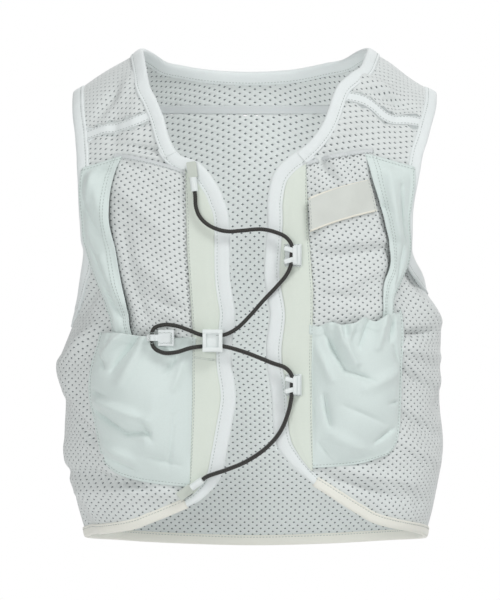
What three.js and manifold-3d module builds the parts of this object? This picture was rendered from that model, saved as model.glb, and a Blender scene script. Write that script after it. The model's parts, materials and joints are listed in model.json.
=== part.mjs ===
// Running hydration vest, shown as it sits on a torso, front towards -Y
import * as THREE from "three";
import { mergeVertices } from "three/addons/utils/BufferGeometryUtils.js";
import Module from "manifold-3d";

const wasm = await Module();
wasm.setup();

// Driving dimensions in millimetres: the body of the vest
const chestWidth = 300; // side seam to side seam
const chestDepth = 184; // front cloth to back cloth
const vestHeight = 398; // shoulder crest down to the hem at the back
const armpitDrop = 199; // shoulder crest down to where the sides close
const shoulderSpread = 372; // width that the shoulder curve is drawn on
const neckHalf = 89; // middle to the neck end of the crest
const armHalf = 144; // middle to the arm end of the crest
const shoulderFall = 37; // crest height lost from neck end to arm end
const crestTop = 1; // crest cloth above the origin at its neck end

// Driving dimensions in millimetres: cloth, trims and gaps
const meshWall = 1.2;
const clothWall = 1.2;
const tapeWall = 1.2;
const bindingWall = 1.6;
const labelWall = 1;
const gap = 0.3;
const bindingGap = 0.7; // under the strips that follow a curved edge
const seamGap = 1.2; // between a front panel and the back, under the shoulder band
const tapeGap = 0.8; // between a front tape and the pockets beside it
const setback = 0.7; // cloth edge back from the edge of its binding
const neckBindingWidth = 10.4;
const frontBindingWidth = 12;
const frontBindingEnd = 6.4; // its width where it meets the hem
const armBindingWidth = 9.6;
const hemWidth = 8;
const bandWidth = 8;
const seamRim = 3; // flat sewn rim round a pocket

// Driving dimensions in millimetres: room inside the pockets
const flaskRoom = 14;
const strapPocketRoom = 5.2;
const chestPocketRoom = 4.2;

// Driving dimensions in millimetres: lacing hardware
const cordDiameter = 3.5;
const padWidth = 14.5;
const padHeight = 19;
const padWall = 1.4;
const hookWidth = 11.5;
const hookHeight = 15;
const hookSlot = 2.6;
const plasticWall = 1.5;
const sliderWidth = 15.4;
const sliderHeight = 17.6;
const sliderPitch = 8.8; // between the two cord channels
const tabLength = 16;
const tabHeight = 12.4;
const eyeLength = 5;
const eyeNeck = 5.6; // eye centre to the wide part of the tab
const tabWall = 2.2;
const cordPlay = 0.5; // free room round the cord in what it runs through
const sleeveDiameter = 5.6;
const sleeveLength = 11;
const anchorWidth = 7.6;
const anchorLength = 12.5;
const plateCorner = 2; // corner radius of the pads and the slider

// Torso sections below the armpit, down as a share of vestHeight, halves as shares of the chest
const sections = [
  { down: 0.4, left: 0.93, right: 0.84, front: 1.0, back: 1.0 },
  { down: 0.46, left: 0.94, right: 0.88, front: 1.0, back: 1.0 },
  { down: 0.53, left: 0.95, right: 0.975, front: 1.0, back: 0.99 },
  { down: 0.63, left: 1.03, right: 0.975, front: 0.99, back: 0.97 },
  { down: 0.7, left: 1.0, right: 0.975, front: 0.98, back: 0.96 },
  { down: 0.8, left: 1.0, right: 0.99, front: 0.97, back: 0.96 },
  { down: 0.9, left: 0.945, right: 0.955, front: 0.95, back: 0.95 },
  { down: 1.0, left: 0.865, right: 0.865, front: 0.92, back: 0.92 },
];

// Edges seen from the front, across as a share of half the chest, down as a share of vestHeight
const openingLeft = [
  { across: -0.35, down: 0.903 },
  { across: -0.266, down: 0.884 },
  { across: -0.177, down: 0.84 },
  { across: -0.125, down: 0.744 },
  { across: -0.109, down: 0.662 },
  { across: -0.112, down: 0.548 },
  { across: -0.136, down: 0.361 },
  { across: -0.172, down: 0.296 },
  { across: -0.224, down: 0.259 },
  { across: -0.295, down: 0.229 },
  { across: -0.391, down: 0.214 },
  { across: -0.44, down: 0.188 },
  { across: -0.48, down: 0.14 },
  { across: -0.52, down: 0.102 },
  { across: -0.567, down: 0.057 },
];
const openingRight = [
  { across: 0.565, down: 0.03 },
  { across: 0.5, down: 0.052 },
  { across: 0.43, down: 0.078 },
  { across: 0.372, down: 0.136 },
  { across: 0.318, down: 0.172 },
  { across: 0.251, down: 0.199 },
  { across: 0.16, down: 0.223 },
  { across: 0.096, down: 0.253 },
  { across: 0.068, down: 0.302 },
  { across: 0.063, down: 0.37 },
  { across: 0.069, down: 0.498 },
  { across: 0.065, down: 0.575 },
  { across: 0.078, down: 0.656 },
  { across: 0.104, down: 0.766 },
  { across: 0.172, down: 0.813 },
  { across: 0.3, down: 0.858 },
];
const neckBack = [
  { across: -0.5, down: 0.012 },
  { across: -0.38, down: 0.024 },
  { across: -0.2, down: 0.032 },
  { across: 0, down: 0.034 },
  { across: 0.2, down: 0.03 },
  { across: 0.38, down: 0.018 },
  { across: 0.5, down: 0.008 },
];
const armholes = {
  left: {
    bottom: 0.53,
    front: [
      { across: -0.955, down: 0.125 },
      { across: -0.94, down: 0.18 },
      { across: -0.922, down: 0.26 },
      { across: -0.91, down: 0.34 },
      { across: -0.905, down: 0.41 },
      { across: -0.925, down: 0.48 },
    ],
    back: [
      { across: -0.91, down: 0.47 },
      { across: -0.88, down: 0.38 },
      { across: -0.88, down: 0.26 },
      { across: -0.92, down: 0.15 },
    ],
  },
  right: {
    bottom: 0.465,
    front: [
      { across: 0.95, down: 0.115 },
      { across: 0.904, down: 0.174 },
      { across: 0.862, down: 0.231 },
      { across: 0.83, down: 0.3 },
      { across: 0.82, down: 0.364 },
      { across: 0.835, down: 0.42 },
    ],
    back: [
      { across: 0.84, down: 0.42 },
      { across: 0.81, down: 0.36 },
      { across: 0.82, down: 0.26 },
      { across: 0.89, down: 0.15 },
    ],
  },
};
const hemFront = {
  left: [
    { across: -0.35, down: 0.906 },
    { across: -0.533, down: 0.935 },
    { across: -0.69, down: 0.954 },
  ],
  right: [
    { across: 0.3, down: 0.862 },
    { across: 0.523, down: 0.916 },
    { across: 0.69, down: 0.945 },
  ],
};
const hemBack = [
  { across: -0.6, down: 0.99 },
  { across: -0.3, down: 0.997 },
  { across: 0, down: 1 },
  { across: 0.3, down: 0.997 },
  { across: 0.6, down: 0.99 },
];
const hemSide = 0.972;
const neckCorners = {
  left: { across: -0.435, down: 0.196 },
  right: { across: 0.251, down: 0.199 },
};
const bandRows = {
  left: [
    { across: -1.02, down: 0.182 },
    { across: -0.9, down: 0.173 },
    { across: -0.79, down: 0.16 },
    { across: -0.66, down: 0.152 },
    { across: -0.54, down: 0.13 },
    { across: -0.42, down: 0.105 },
  ],
  right: [
    { across: 1.02, down: 0.153 },
    { across: 0.9, down: 0.148 },
    { across: 0.78, down: 0.142 },
    { across: 0.69, down: 0.137 },
    { across: 0.58, down: 0.106 },
    { across: 0.46, down: 0.094 },
    { across: 0.34, down: 0.085 },
  ],
};

// Pocket outlines, each edge drawn from its lower or inner end
const tapeEdges = {
  left: [
    { across: -0.34, down: 0.872 },
    { across: -0.326, down: 0.734 },
    { across: -0.323, down: 0.557 },
    { across: -0.351, down: 0.4 },
    { across: -0.362, down: 0.238 },
  ],
  right: [
    { across: 0.299, down: 0.832 },
    { across: 0.292, down: 0.62 },
    { across: 0.3, down: 0.479 },
    { across: 0.275, down: 0.36 },
    { across: 0.264, down: 0.229 },
  ],
};
const strapPockets = {
  left: {
    inner: [
      { across: -0.65, down: 0.535 },
      { across: -0.684, down: 0.445 },
      { across: -0.735, down: 0.36 },
      { across: -0.747, down: 0.303 },
      { across: -0.728, down: 0.258 },
      { across: -0.69, down: 0.215 },
    ],
    outer: [
      { across: -0.73, down: 0.532 },
      { across: -0.82, down: 0.465 },
      { across: -0.872, down: 0.411 },
      { across: -0.9, down: 0.33 },
      { across: -0.898, down: 0.238 },
    ],
  },
  right: {
    inner: [
      { across: 0.645, down: 0.505 },
      { across: 0.664, down: 0.439 },
      { across: 0.678, down: 0.388 },
      { across: 0.664, down: 0.345 },
      { across: 0.605, down: 0.265 },
      { across: 0.57, down: 0.21 },
    ],
    outer: [
      { across: 0.705, down: 0.495 },
      { across: 0.755, down: 0.455 },
      { across: 0.8, down: 0.405 },
      { across: 0.805, down: 0.33 },
      { across: 0.825, down: 0.236 },
    ],
  },
};
const chestPockets = {
  left: {
    bottom: 0.556,
    top: 0.25,
    outer: [
      { across: -0.575, down: 0.556 },
      { across: -0.61, down: 0.489 },
      { across: -0.655, down: 0.435 },
      { across: -0.705, down: 0.37 },
      { across: -0.724, down: 0.303 },
      { across: -0.703, down: 0.255 },
      { across: -0.665, down: 0.22 },
    ],
  },
  right: {
    bottom: 0.528,
    top: 0.235,
    outer: [
      { across: 0.615, down: 0.52 },
      { across: 0.635, down: 0.445 },
      { across: 0.648, down: 0.388 },
      { across: 0.63, down: 0.345 },
      { across: 0.575, down: 0.27 },
      { across: 0.545, down: 0.215 },
    ],
  },
};
const flaskPockets = {
  left: {
    bottom: 0.866,
    top: 0.571,
    outer: [
      { across: -0.785, down: 0.815 },
      { across: -0.825, down: 0.75 },
      { across: -0.855, down: 0.69 },
      { across: -0.855, down: 0.63 },
      { across: -0.8, down: 0.562 },
    ],
    base: [
      { across: -0.71, down: 0.84 },
      { across: -0.56, down: 0.856 },
    ],
  },
  right: {
    bottom: 0.828,
    top: 0.545,
    outer: [
      { across: 0.69, down: 0.802 },
      { across: 0.74, down: 0.77 },
      { across: 0.758, down: 0.7 },
      { across: 0.762, down: 0.6 },
      { across: 0.75, down: 0.518 },
    ],
    base: [{ across: 0.522, down: 0.821 }],
  },
};
const labelCorners = [
  { across: 0.28, down: 0.365 },
  { across: 0.622, down: 0.322 },
  { across: 0.583, down: 0.262 },
  { across: 0.272, down: 0.298 },
];

const halfWidth = chestWidth / 2;
const halfDepth = chestDepth / 2;
const armpitZ = -armpitDrop;
const crestSlope = shoulderFall / (armHalf - neckHalf);
const middleOverlap = 0.002; // the halves of the back run this far past the middle
const crestEase = 40; // rounds the crest line where it crosses the middle
const quarter = Math.PI / 2;
const pastEdge = 1.03; // share that the hollow of a pocket runs to past its open edge
const sideSquare = 0.25; // fullness of the torso section towards its corners
const overSquare = 0.3; // fullness of the curve over the shoulder
const widenShare = 0.45; // share of the way to the crest over which the strap curve widens
const nearSide = 0.9; // lane from which a line that changes face goes round the side
const downPerW = (armpitDrop + crestTop) * quarter;

const mix = (a, b, t) => a + (b - a) * t;
const clamp = (x, lo, hi) => Math.min(hi, Math.max(lo, x));
const smooth = (t) => t * t * (3 - 2 * t);
const mixPair = (a, b, t) => [mix(a[0], b[0], t), mix(a[1], b[1], t)];

// A column of the section table, eased through its rows
function section(column, down) {
  const last = sections.length - 1;
  let i = 0;
  while (i < last - 1 && down > sections[i + 1].down) i++;
  const a = sections[i];
  const b = sections[i + 1];
  const before = sections[Math.max(0, i - 1)];
  const after = sections[Math.min(last, i + 2)];
  const t = clamp((down - a.down) / (b.down - a.down), 0, 1);
  const span = b.down - a.down;
  const slopeA = ((b[column] - before[column]) / (b.down - before.down)) * span;
  const slopeB = ((after[column] - a[column]) / (after.down - a.down)) * span;
  const t2 = t * t;
  const t3 = t2 * t;
  return (
    (2 * t3 - 3 * t2 + 1) * a[column] +
    (t3 - 2 * t2 + t) * slopeA +
    (3 * t2 - 2 * t3) * b[column] +
    (t3 - t2) * slopeB
  );
}

// Height of the shoulder crest over a distance from the middle
function crestZ(x) {
  const reach = Math.hypot(x, crestEase) - Math.hypot(neckHalf, crestEase);
  return crestTop - crestSlope * reach;
}

// Height along w without the crest's own slope
function plainZ(w) {
  const a = Math.abs(w);
  if (a >= 1) return armpitZ - (a - 1) * downPerW;
  return mix(armpitZ, crestZ((neckHalf + armHalf) / 2), Math.cos(a * quarter));
}

// Middle and half width of the curve that lane runs along
function girth(w) {
  const down = -plainZ(w) / vestHeight;
  const left = section("left", down) * halfWidth;
  const right = section("right", down) * halfWidth;
  const widen = smooth(clamp((1 - Math.abs(w)) / widenShare, 0, 1));
  return {
    middle: mix((right - left) / 2, 0, widen),
    half: mix((right + left) / 2, shoulderSpread / 2, widen),
  };
}

// A point of the torso. lane runs from side to side, -1 to 1.
// w runs from the front hem up over the shoulder crest at 0 and down the back, 1 at the armpit.
function torso(lane, w) {
  const { middle, half } = girth(w);
  const angle = lane * quarter;
  const x = middle + half * Math.sin(angle);
  const down = -plainZ(w) / vestHeight;
  const deep = section(w < 0 ? "front" : "back", down) * halfDepth;
  const across = Math.cos(angle) * (1 + sideSquare * Math.sin(angle) ** 2);
  const a = Math.abs(w);
  if (a >= 1) {
    return new THREE.Vector3(x, Math.sign(w) * deep * across, plainZ(w));
  }
  const turn = w * quarter;
  const over = Math.sin(turn) * (1 + overSquare * Math.cos(turn) ** 2);
  const z = mix(armpitZ, crestZ(x), Math.cos(turn));
  return new THREE.Vector3(x, deep * across * over, z);
}

function directions(lane, w) {
  const step = 1e-4;
  const l = clamp(lane, -1 + step, 1 - step);
  const alongLane = torso(l + step, w).sub(torso(l - step, w));
  const alongW = torso(l, w + step).sub(torso(l, w - step));
  alongLane.divideScalar(2 * step);
  alongW.divideScalar(2 * step);
  const normal = alongLane.clone().cross(alongW).normalize();
  return { alongLane, alongW, normal };
}

function shell([lane, w], off) {
  const base = torso(lane, w);
  return base.addScaledVector(directions(lane, w).normal, off);
}

// Lane and w of a place given by its distance across and down, on the front or the back
function flat(face, { across, down }) {
  const x = across * halfWidth;
  const z = -down * vestHeight;
  let w = 1 + (armpitZ - z) / downPerW;
  if (z > armpitZ) {
    const lift = clamp((z - armpitZ) / (crestZ(x) - armpitZ), 0, 1);
    w = Math.acos(lift) / quarter;
  }
  w *= face;
  const { middle, half } = girth(w);
  return [Math.asin(clamp((x - middle) / half, -1, 1)) / quarter, w];
}
const front = (row) => flat(-1, row);
const back = (row) => flat(1, row);

function crestPoint(side, half) {
  return [Math.asin((side * half) / (shoulderSpread / 2)) / quarter, 0];
}

// Evenly spaced places on a smooth line through a few places
function trace(places, count) {
  const curve = new THREE.SplineCurve(places.map(([l, w]) => new THREE.Vector2(l, w)));
  curve.arcLengthDivisions = 400;
  return curve.getSpacedPoints(count - 1).map((p) => [p.x, p.y]);
}

// A line moved sideways over the cloth by a distance, to its left as seen from outside.
function inset(line, distance, closed = false) {
  const points = line.map(([l, w]) => torso(l, w));
  const n = line.length;
  const far = typeof distance === "number" ? () => distance : distance;
  return line.map(([lane, w], i) => {
    const prev = closed ? points[(i + n - 1) % n] : points[Math.max(0, i - 1)];
    const next = closed ? points[(i + 1) % n] : points[Math.min(n - 1, i + 1)];
    const { alongLane, alongW, normal } = directions(lane, w);
    const aside = normal.clone().cross(next.clone().sub(prev)).setLength(far(i / (n - 1)));
    const ll = alongLane.dot(alongLane);
    const lw = alongLane.dot(alongW);
    const ww = alongW.dot(alongW);
    const dl = alongLane.dot(aside);
    const dw = alongW.dot(aside);
    const det = ll * ww - lw * lw;
    return [lane + (dl * ww - dw * lw) / det, w + (dw * ll - dl * lw) / det];
  });
}

// Where two lines of places cross, as the index along each
function crossing(a, b) {
  for (let i = 0; i < a.length - 1; i++) {
    for (let j = 0; j < b.length - 1; j++) {
      const [p, q, r, s] = [a[i], a[i + 1], b[j], b[j + 1]];
      const d = [q[0] - p[0], q[1] - p[1]];
      const e = [s[0] - r[0], s[1] - r[1]];
      const det = d[0] * e[1] - d[1] * e[0];
      const f = [r[0] - p[0], r[1] - p[1]];
      const ta = (f[0] * e[1] - f[1] * e[0]) / det;
      const tb = (f[0] * d[1] - f[1] * d[0]) / det;
      if (ta >= 0 && ta <= 1 && tb >= 0 && tb <= 1) return [i + ta, j + tb];
    }
  }
  throw new Error("two edges that should meet do not cross");
}

function placeAt(line, index) {
  const i = clamp(Math.floor(index), 0, line.length - 2);
  return mixPair(line[i], line[i + 1], index - i);
}

// The stretch of a line between two indexes, in the order asked for
function stretch(line, from, to) {
  if (from > to) return stretch(line, to, from).reverse();
  const inside = line.filter((_, i) => i > from && i < to);
  return [placeAt(line, from), ...inside, placeAt(line, to)];
}

// A function that runs along a line at even speed over the cloth
function even(line) {
  const points = line.map(([l, w]) => torso(l, w));
  const marks = [0];
  for (let i = 1; i < points.length; i++) {
    marks.push(marks[i - 1] + points[i].distanceTo(points[i - 1]));
  }
  const total = marks[marks.length - 1];
  return (t) => {
    const goal = clamp(t, 0, 1) * total;
    let i = 1;
    while (i < marks.length - 1 && marks[i] < goal) i++;
    const share = (goal - marks[i - 1]) / (marks[i] - marks[i - 1] || 1);
    const [a, b] = [line[i - 1], line[i]];
    const roundSide = a[1] * b[1] < 0 && Math.abs(a[0]) > nearSide;
    if (roundSide) return share < 0.5 ? a : b;
    return mixPair(a, b, share);
  };
}

// A patch between four edges; left and right run upwards, bottom and top run from left to right
function patch({ left, right, bottom, top }) {
  const [l, r] = [even(left), even(right)];
  const b = bottom ? even(bottom) : (u) => mixPair(l(0), r(0), u);
  const t = top ? even(top) : (u) => mixPair(l(1), r(1), u);
  const inner = (u, v) => {
    const ruled = mixPair(l(v), r(v), u);
    const lifted = mixPair(b(u), t(u), v);
    const corners = mixPair(mixPair(l(0), r(0), u), mixPair(l(1), r(1), u), v);
    return [ruled[0] + lifted[0] - corners[0], ruled[1] + lifted[1] - corners[1]];
  };
  const back = 0.04;
  return (u, v) => {
    if (v > 1) return mixPair(inner(u, 1), inner(u, 1 - back), (1 - v) / back);
    if (u > 1) return mixPair(inner(1, v), inner(1 - back, v), (1 - u) / back);
    return inner(u, v);
  };
}

// Even grid lines from one value to another
const lines = (count, from = 0, to = 1) =>
  Array.from({ length: count + 1 }, (_, i) => mix(from, to, i / count));

// A closed solid over a patch, from one height above the torso to another.
// A ring joins its last row to its first.
function sheet(area, us, vs, under, over, ring = false) {
  const low = typeof under === "number" ? () => under : under;
  const high = typeof over === "number" ? () => over : over;
  const rowsMade = ring ? vs.slice(0, -1) : vs;
  const positions = [];
  for (const height of [low, high]) {
    for (const v of rowsMade) {
      for (const u of us) positions.push(...shell(area(u, v), height(u, v)).toArray());
    }
  }
  const cols = us.length - 1;
  const rows = vs.length - 1;
  const index = [];
  const layer = us.length * rowsMade.length;
  const at = (i, j, k) => k * layer + (j % rowsMade.length) * us.length + i;
  const quad = (a, b, c, d) => index.push(a, b, c, a, c, d);
  for (let j = 0; j < rows; j++) {
    for (let i = 0; i < cols; i++) {
      quad(at(i, j, 1), at(i + 1, j, 1), at(i + 1, j + 1, 1), at(i, j + 1, 1));
      quad(at(i, j, 0), at(i, j + 1, 0), at(i + 1, j + 1, 0), at(i + 1, j, 0));
    }
    quad(at(0, j, 0), at(0, j, 1), at(0, j + 1, 1), at(0, j + 1, 0));
    quad(at(cols, j, 1), at(cols, j, 0), at(cols, j + 1, 0), at(cols, j + 1, 1));
  }
  if (!ring) {
    for (let i = 0; i < cols; i++) {
      quad(at(i, 0, 1), at(i, 0, 0), at(i + 1, 0, 0), at(i + 1, 0, 1));
      quad(at(i, rows, 0), at(i, rows, 1), at(i + 1, rows, 1), at(i + 1, rows, 0));
    }
  }
  return facingOut(positions, index);
}

// A geometry from points and triangles, turned so that its volume is positive
function facingOut(positions, index) {
  const p = (i) => new THREE.Vector3().fromArray(positions, i * 3);
  let volume = 0;
  for (let i = 0; i < index.length; i += 3) {
    volume += p(index[i]).dot(p(index[i + 1]).cross(p(index[i + 2])));
  }
  if (volume < 0) index.reverse();
  const geometry = new THREE.BufferGeometry();
  geometry.setAttribute("position", new THREE.Float32BufferAttribute(positions, 3));
  geometry.setIndex(index);
  return geometry;
}

function toSolid(geometry) {
  const bare = geometry.clone();
  bare.deleteAttribute("normal");
  bare.deleteAttribute("uv");
  const merged = mergeVertices(bare, 1e-4);
  return new wasm.Manifold(
    new wasm.Mesh({
      numProp: 3,
      vertProperties: new Float32Array(merged.attributes.position.array),
      triVerts: new Uint32Array(merged.index.array),
    }),
  );
}

function toGeometry(solid) {
  const { vertProperties, triVerts } = solid.getMesh();
  const geometry = new THREE.BufferGeometry();
  geometry.setAttribute("position", new THREE.BufferAttribute(vertProperties, 3));
  geometry.setIndex(new THREE.BufferAttribute(triVerts, 1));
  return geometry;
}
const joined = (...all) => toGeometry(all.map(toSolid).reduce((a, b) => a.add(b)));
function cut(from, ...tools) {
  return toGeometry(tools.map(toSolid).reduce((a, b) => a.subtract(b), toSolid(from)));
}

const finish = (color, roughness, metalness = 0) =>
  new THREE.MeshStandardMaterial({ color, roughness, metalness });
const finishes = {
  mesh: finish(0xdde3e3, 0.9),
  mint: finish(0xd3e6e1, 0.8),
  tape: finish(0xdbe2dc, 0.85),
  binding: finish(0xe2e9e9, 0.8),
  cream: finish(0xe6e7de, 0.85),
  label: finish(0xdcdacd, 0.7),
  plastic: finish(0xe6ecec, 0.4),
  cord: finish(0x2c2c29, 0.75),
};

const vest = new THREE.Group();
function add(name, geometry, material) {
  const mesh = new THREE.Mesh(geometry, finishes[material]);
  mesh.name = name;
  vest.add(mesh);
  return mesh;
}

const sides = { left: -1, right: 1 };
const both = Object.keys(sides);

// Long edges of the vest, from which bindings and panels both take their places.
// The opening runs up the left front, round the back of the neck and down the right front.
const openingRoute = [
  ...openingLeft.map(front),
  crestPoint(-1, neckHalf),
  ...neckBack.map(back),
  crestPoint(1, neckHalf),
  ...openingRight.map(front),
];
const opening = trace(openingRoute, 261);
const corners = [
  nearest(opening, front(neckCorners.left)),
  nearest(opening, front(neckCorners.right)),
];
const panelEdge = inset(opening, setback);

// The armhole loop of one side: crest, down the front, round the bottom, up the back
const loopSteps = 31;
function armLoop(side) {
  const sign = sides[side];
  const shape = armholes[side];
  const [, low] = flat(-1, { across: sign, down: shape.bottom });
  const crest = crestPoint(sign, armHalf);
  const ahead = trace([crest, ...shape.front.map(front), [sign, low]], loopSteps);
  const behind = trace([[sign, -low], ...shape.back.map(back), crest], loopSteps);
  const line = [...ahead, ...behind];
  return { line, panel: inset(line, -sign * setback, true) };
}
const arms = { left: armLoop("left"), right: armLoop("right") };

// The hem from the left front corner round the back to the right front corner
const sideW = 1 + (hemSide * vestHeight + armpitZ) / downPerW;
const hemFrontSteps = 21;
const hemBackHalf = 22; // steps of the hem from one side to the middle of the back
const hem = [
  ...trace([...hemFront.left.map(front), [-1, -sideW]], hemFrontSteps),
  ...trace([[-1, sideW], ...hemBack.map(back), [1, sideW]], 2 * hemBackHalf + 1),
  ...trace([[1, -sideW], ...[...hemFront.right].reverse().map(front)], hemFrontSteps),
];
const hemPanel = inset(hem, -setback);
const seamLane = 1 - gap / 2 / (halfDepth * (1 + sideSquare) * quarter);

// Index along a line where it passes a height w, and where it comes closest to a place
function atW(line, w) {
  for (let i = 0; i < line.length - 1; i++) {
    const [a, b] = [line[i][1] - w, line[i + 1][1] - w];
    if (a * b <= 0 && a !== b) return i + a / (a - b);
  }
  throw new Error("an edge does not reach the height asked for");
}
function nearest(line, place) {
  const goal = torso(...place);
  const far = line.map(([l, w]) => torso(l, w).distanceTo(goal));
  return far.indexOf(Math.min(...far));
}

// Heights above the torso: what is sewn to the mesh, and what lies over the bindings
const firstLayer = meshWall + bindingGap;
const secondLayer = firstLayer + bindingWall + gap;
const trimLow = secondLayer + gap;

// The binding that finishes an edge: a strip lying on the last of the cloth
function binding(line, width, steps, ring = false) {
  const area = patch({ left: line, right: inset(line, width, ring) });
  return sheet(area, [0, 1], lines(steps), firstLayer, firstLayer + bindingWall, ring);
}

// Panels: each side's band line, side seam and armhole close its front and its half of the back
const bands = both.map((side) => trace(bandRows[side].map(front), 12));
function panelEdges(side) {
  const sign = sides[side];
  const band = bands[both.indexOf(side)];
  const { panel } = arms[side];
  const held = panel.map(([l, w]) => [clamp(l, -seamLane, seamLane), w]);
  const ahead = held.slice(0, loopSteps);
  const behind = held.slice(loopSteps);
  const half = Math.round(opening.length / 2);
  const neck = side === "left" ? panelEdge.slice(0, half) : panelEdge.slice(half).reverse();
  const hemLeft = hemPanel.slice(0, hemFrontSteps);
  const hemRight = hemPanel.slice(-hemFrontSteps).reverse();
  return { sign, band, ahead, behind, neck, hemSplit: side === "left" ? hemLeft : hemRight };
}

function frontPanel(side) {
  const { sign, band, ahead, neck, hemSplit } = panelEdges(side);
  const top = inset(band, (sign * seamGap) / 2);
  const [n1, t1] = crossing(neck, top);
  const [a1, t0] = crossing(ahead, top);
  const corner = [sign * seamLane, hemSplit[hemSplit.length - 1][1]];
  const bottom = [neck[0], ...hemSplit.slice(1, -1), corner].reverse();
  const outer = [corner, ...stretch(ahead, ahead.length - 1, a1)];
  const inner = stretch(neck, 0, n1);
  const area = patch({ left: outer, right: inner, bottom, top: stretch(top, t0, t1) });
  return sheet(area, lines(8), lines(26), 0, meshWall);
}

// Half of the back with the strap that runs over the shoulder to the band
function backHalf(side) {
  const { sign, band, ahead, behind, neck } = panelEdges(side);
  const top = inset(band, (-sign * seamGap) / 2);
  const [n1, t1] = crossing(neck, top);
  const [a1, t0] = crossing(ahead, top);
  const hemBackLine = hemPanel.slice(hemFrontSteps, -hemFrontSteps);
  const middle = hemBackLine[hemBackHalf][1];
  const fromLeft = hemBackLine.slice(0, hemBackHalf + 1);
  const low = side === "left" ? fromLeft : hemBackLine.slice(hemBackHalf).reverse();
  const past = -sign * middleOverlap;
  const corner = [sign * seamLane, low[1][1]];
  const neckMiddle = neck[neck.length - 1][1];
  const outer = [corner, ...behind, ...stretch(ahead, 0, a1)];
  const inner = [[past, middle], [past, neckMiddle], ...stretch(neck, neck.length - 1.01, n1)];
  const bottom = [corner, ...low.slice(2, -1), [past, middle]];
  const area = patch({ left: outer, right: inner, bottom, top: stretch(top, t0, t1) });
  return sheet(area, lines(6), lines(36), 0, meshWall);
}

add("front_panel_left", frontPanel("left"), "mesh");
add("front_panel_right", frontPanel("right"), "mesh");
add("back_panel", joined(backHalf("left"), backHalf("right")), "mesh");

// Bindings on the neck, the two front edges, the armholes and the hem
const [cornerLeft, cornerRight] = corners;
const last = opening.length - 1;
const jointSteps = 0.2; // half the joint between two bindings, in steps of the opening
const neckRun = stretch(opening, cornerLeft + jointSteps, cornerRight - jointSteps);
const frontRuns = {
  left: stretch(opening, 0, cornerLeft - jointSteps),
  right: stretch(opening, cornerRight + jointSteps, last),
};
// The front bindings narrow towards the hem: left runs up from it, right runs down to it
const narrowing = 0.2;
const frontWidths = {
  left: (t) => mix(frontBindingEnd, frontBindingWidth, smooth(clamp(t / narrowing, 0, 1))),
  right: (t) => mix(frontBindingEnd, frontBindingWidth, smooth(clamp((1 - t) / narrowing, 0, 1))),
};
add("neck_binding", binding(neckRun, neckBindingWidth, 56), "binding");
for (const side of both) {
  const armEdge = binding(arms[side].line, -sides[side] * armBindingWidth, 48, true);
  add("front_binding_" + side, binding(frontRuns[side], frontWidths[side], 26), "binding");
  add("armhole_binding_" + side, armEdge, "binding");
}
const hemClear = 0.9; // steps of the hem left free at each front corner
const hemRun = stretch(hem, hemClear, hem.length - 1 - hemClear);
add("hem_binding", binding(hemRun, -hemWidth, 56), "cream");

// Shoulder bands lie over the seams between the front panels and the back
for (const side of both) {
  const sign = sides[side];
  const band = bands[both.indexOf(side)];
  const low = inset(band, (-sign * bandWidth) / 2);
  const high = inset(band, (sign * bandWidth) / 2);
  const armSide = inset(arms[side].line, -sign * (armBindingWidth + tapeGap), true);
  const arm = armSide.slice(0, loopSteps);
  const neck = inset(opening, neckBindingWidth + tapeGap);
  const cutTo = (line) => stretch(line, crossing(line, arm)[0], crossing(line, neck)[0]);
  const area = patch({ left: cutTo(low), right: cutTo(high) });
  const strip = sheet(area, [0, 1], lines(8), firstLayer, firstLayer + tapeWall);
  add("shoulder_band_" + side, strip, "tape");
}

// Front tapes run between the front bindings and the pockets
const frontInner = {
  left: inset(frontRuns.left, (t) => frontWidths.left(t) + gap),
  right: inset(frontRuns.right, (t) => frontWidths.right(t) + gap).reverse(),
};
const tapeLines = {};
for (const side of both) {
  const line = trace(tapeEdges[side].map(front), 60);
  const inner = frontInner[side];
  const between = [nearest(inner, line[0]), nearest(inner, line[line.length - 1])];
  tapeLines[side] = line;
  const area = patch({ left: line, right: stretch(inner, ...between) });
  const strip = sheet(area, lines(2), lines(20), firstLayer, firstLayer + tapeWall);
  add("front_tape_" + side, strip, "tape");
}

// A pocket: cloth sewn down round its rim and standing off the panel by its room.
// Its hollow is open towards the panel and along the edges named open.
function pocket(area, { base, room, us, vs, form, open }) {
  const rise = (u, v) => base + room * form(u, v);
  const top = (u, v) => rise(u, v) + clothWall;
  const openSide = open === "inner";
  const openTop = open === "top";
  const outerUs = openSide ? [0, ...us] : [0, ...us, 1];
  const outerVs = openTop ? [0, ...vs] : [0, ...vs, 1];
  const outside = sheet(area, outerUs, outerVs, base, top);
  const beyondU = openSide ? [...us, pastEdge] : us;
  const beyondV = openTop ? [...vs, pastEdge] : vs;
  const inside = sheet(area, beyondU, beyondV, base - 1, rise);
  return cut(outside, inside);
}

// Share of a patch's width and height that its sewn rim takes
function rimOf(area) {
  const at = (u, v) => torso(...area(u, v));
  return {
    u: seamRim / at(0, 0.5).distanceTo(at(1, 0.5)),
    v: seamRim / at(0.5, 0).distanceTo(at(0.5, 1)),
  };
}
const hump = (t, power) => Math.sin(Math.PI * clamp(t, 0, 1)) ** power;
const rampUp = (t, length) => Math.sin(quarter * clamp(t / length, 0, 1));

// The side of a pocket that runs along its front tape, between two heights
function tapeSide(side, { bottom, top }) {
  const sign = sides[side];
  const line = inset(tapeLines[side], -sign * tapeGap);
  const wAt = (down) => front({ across: sign * 0.3, down })[1];
  return stretch(line, atW(line, wAt(bottom)), atW(line, wAt(top)));
}

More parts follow.
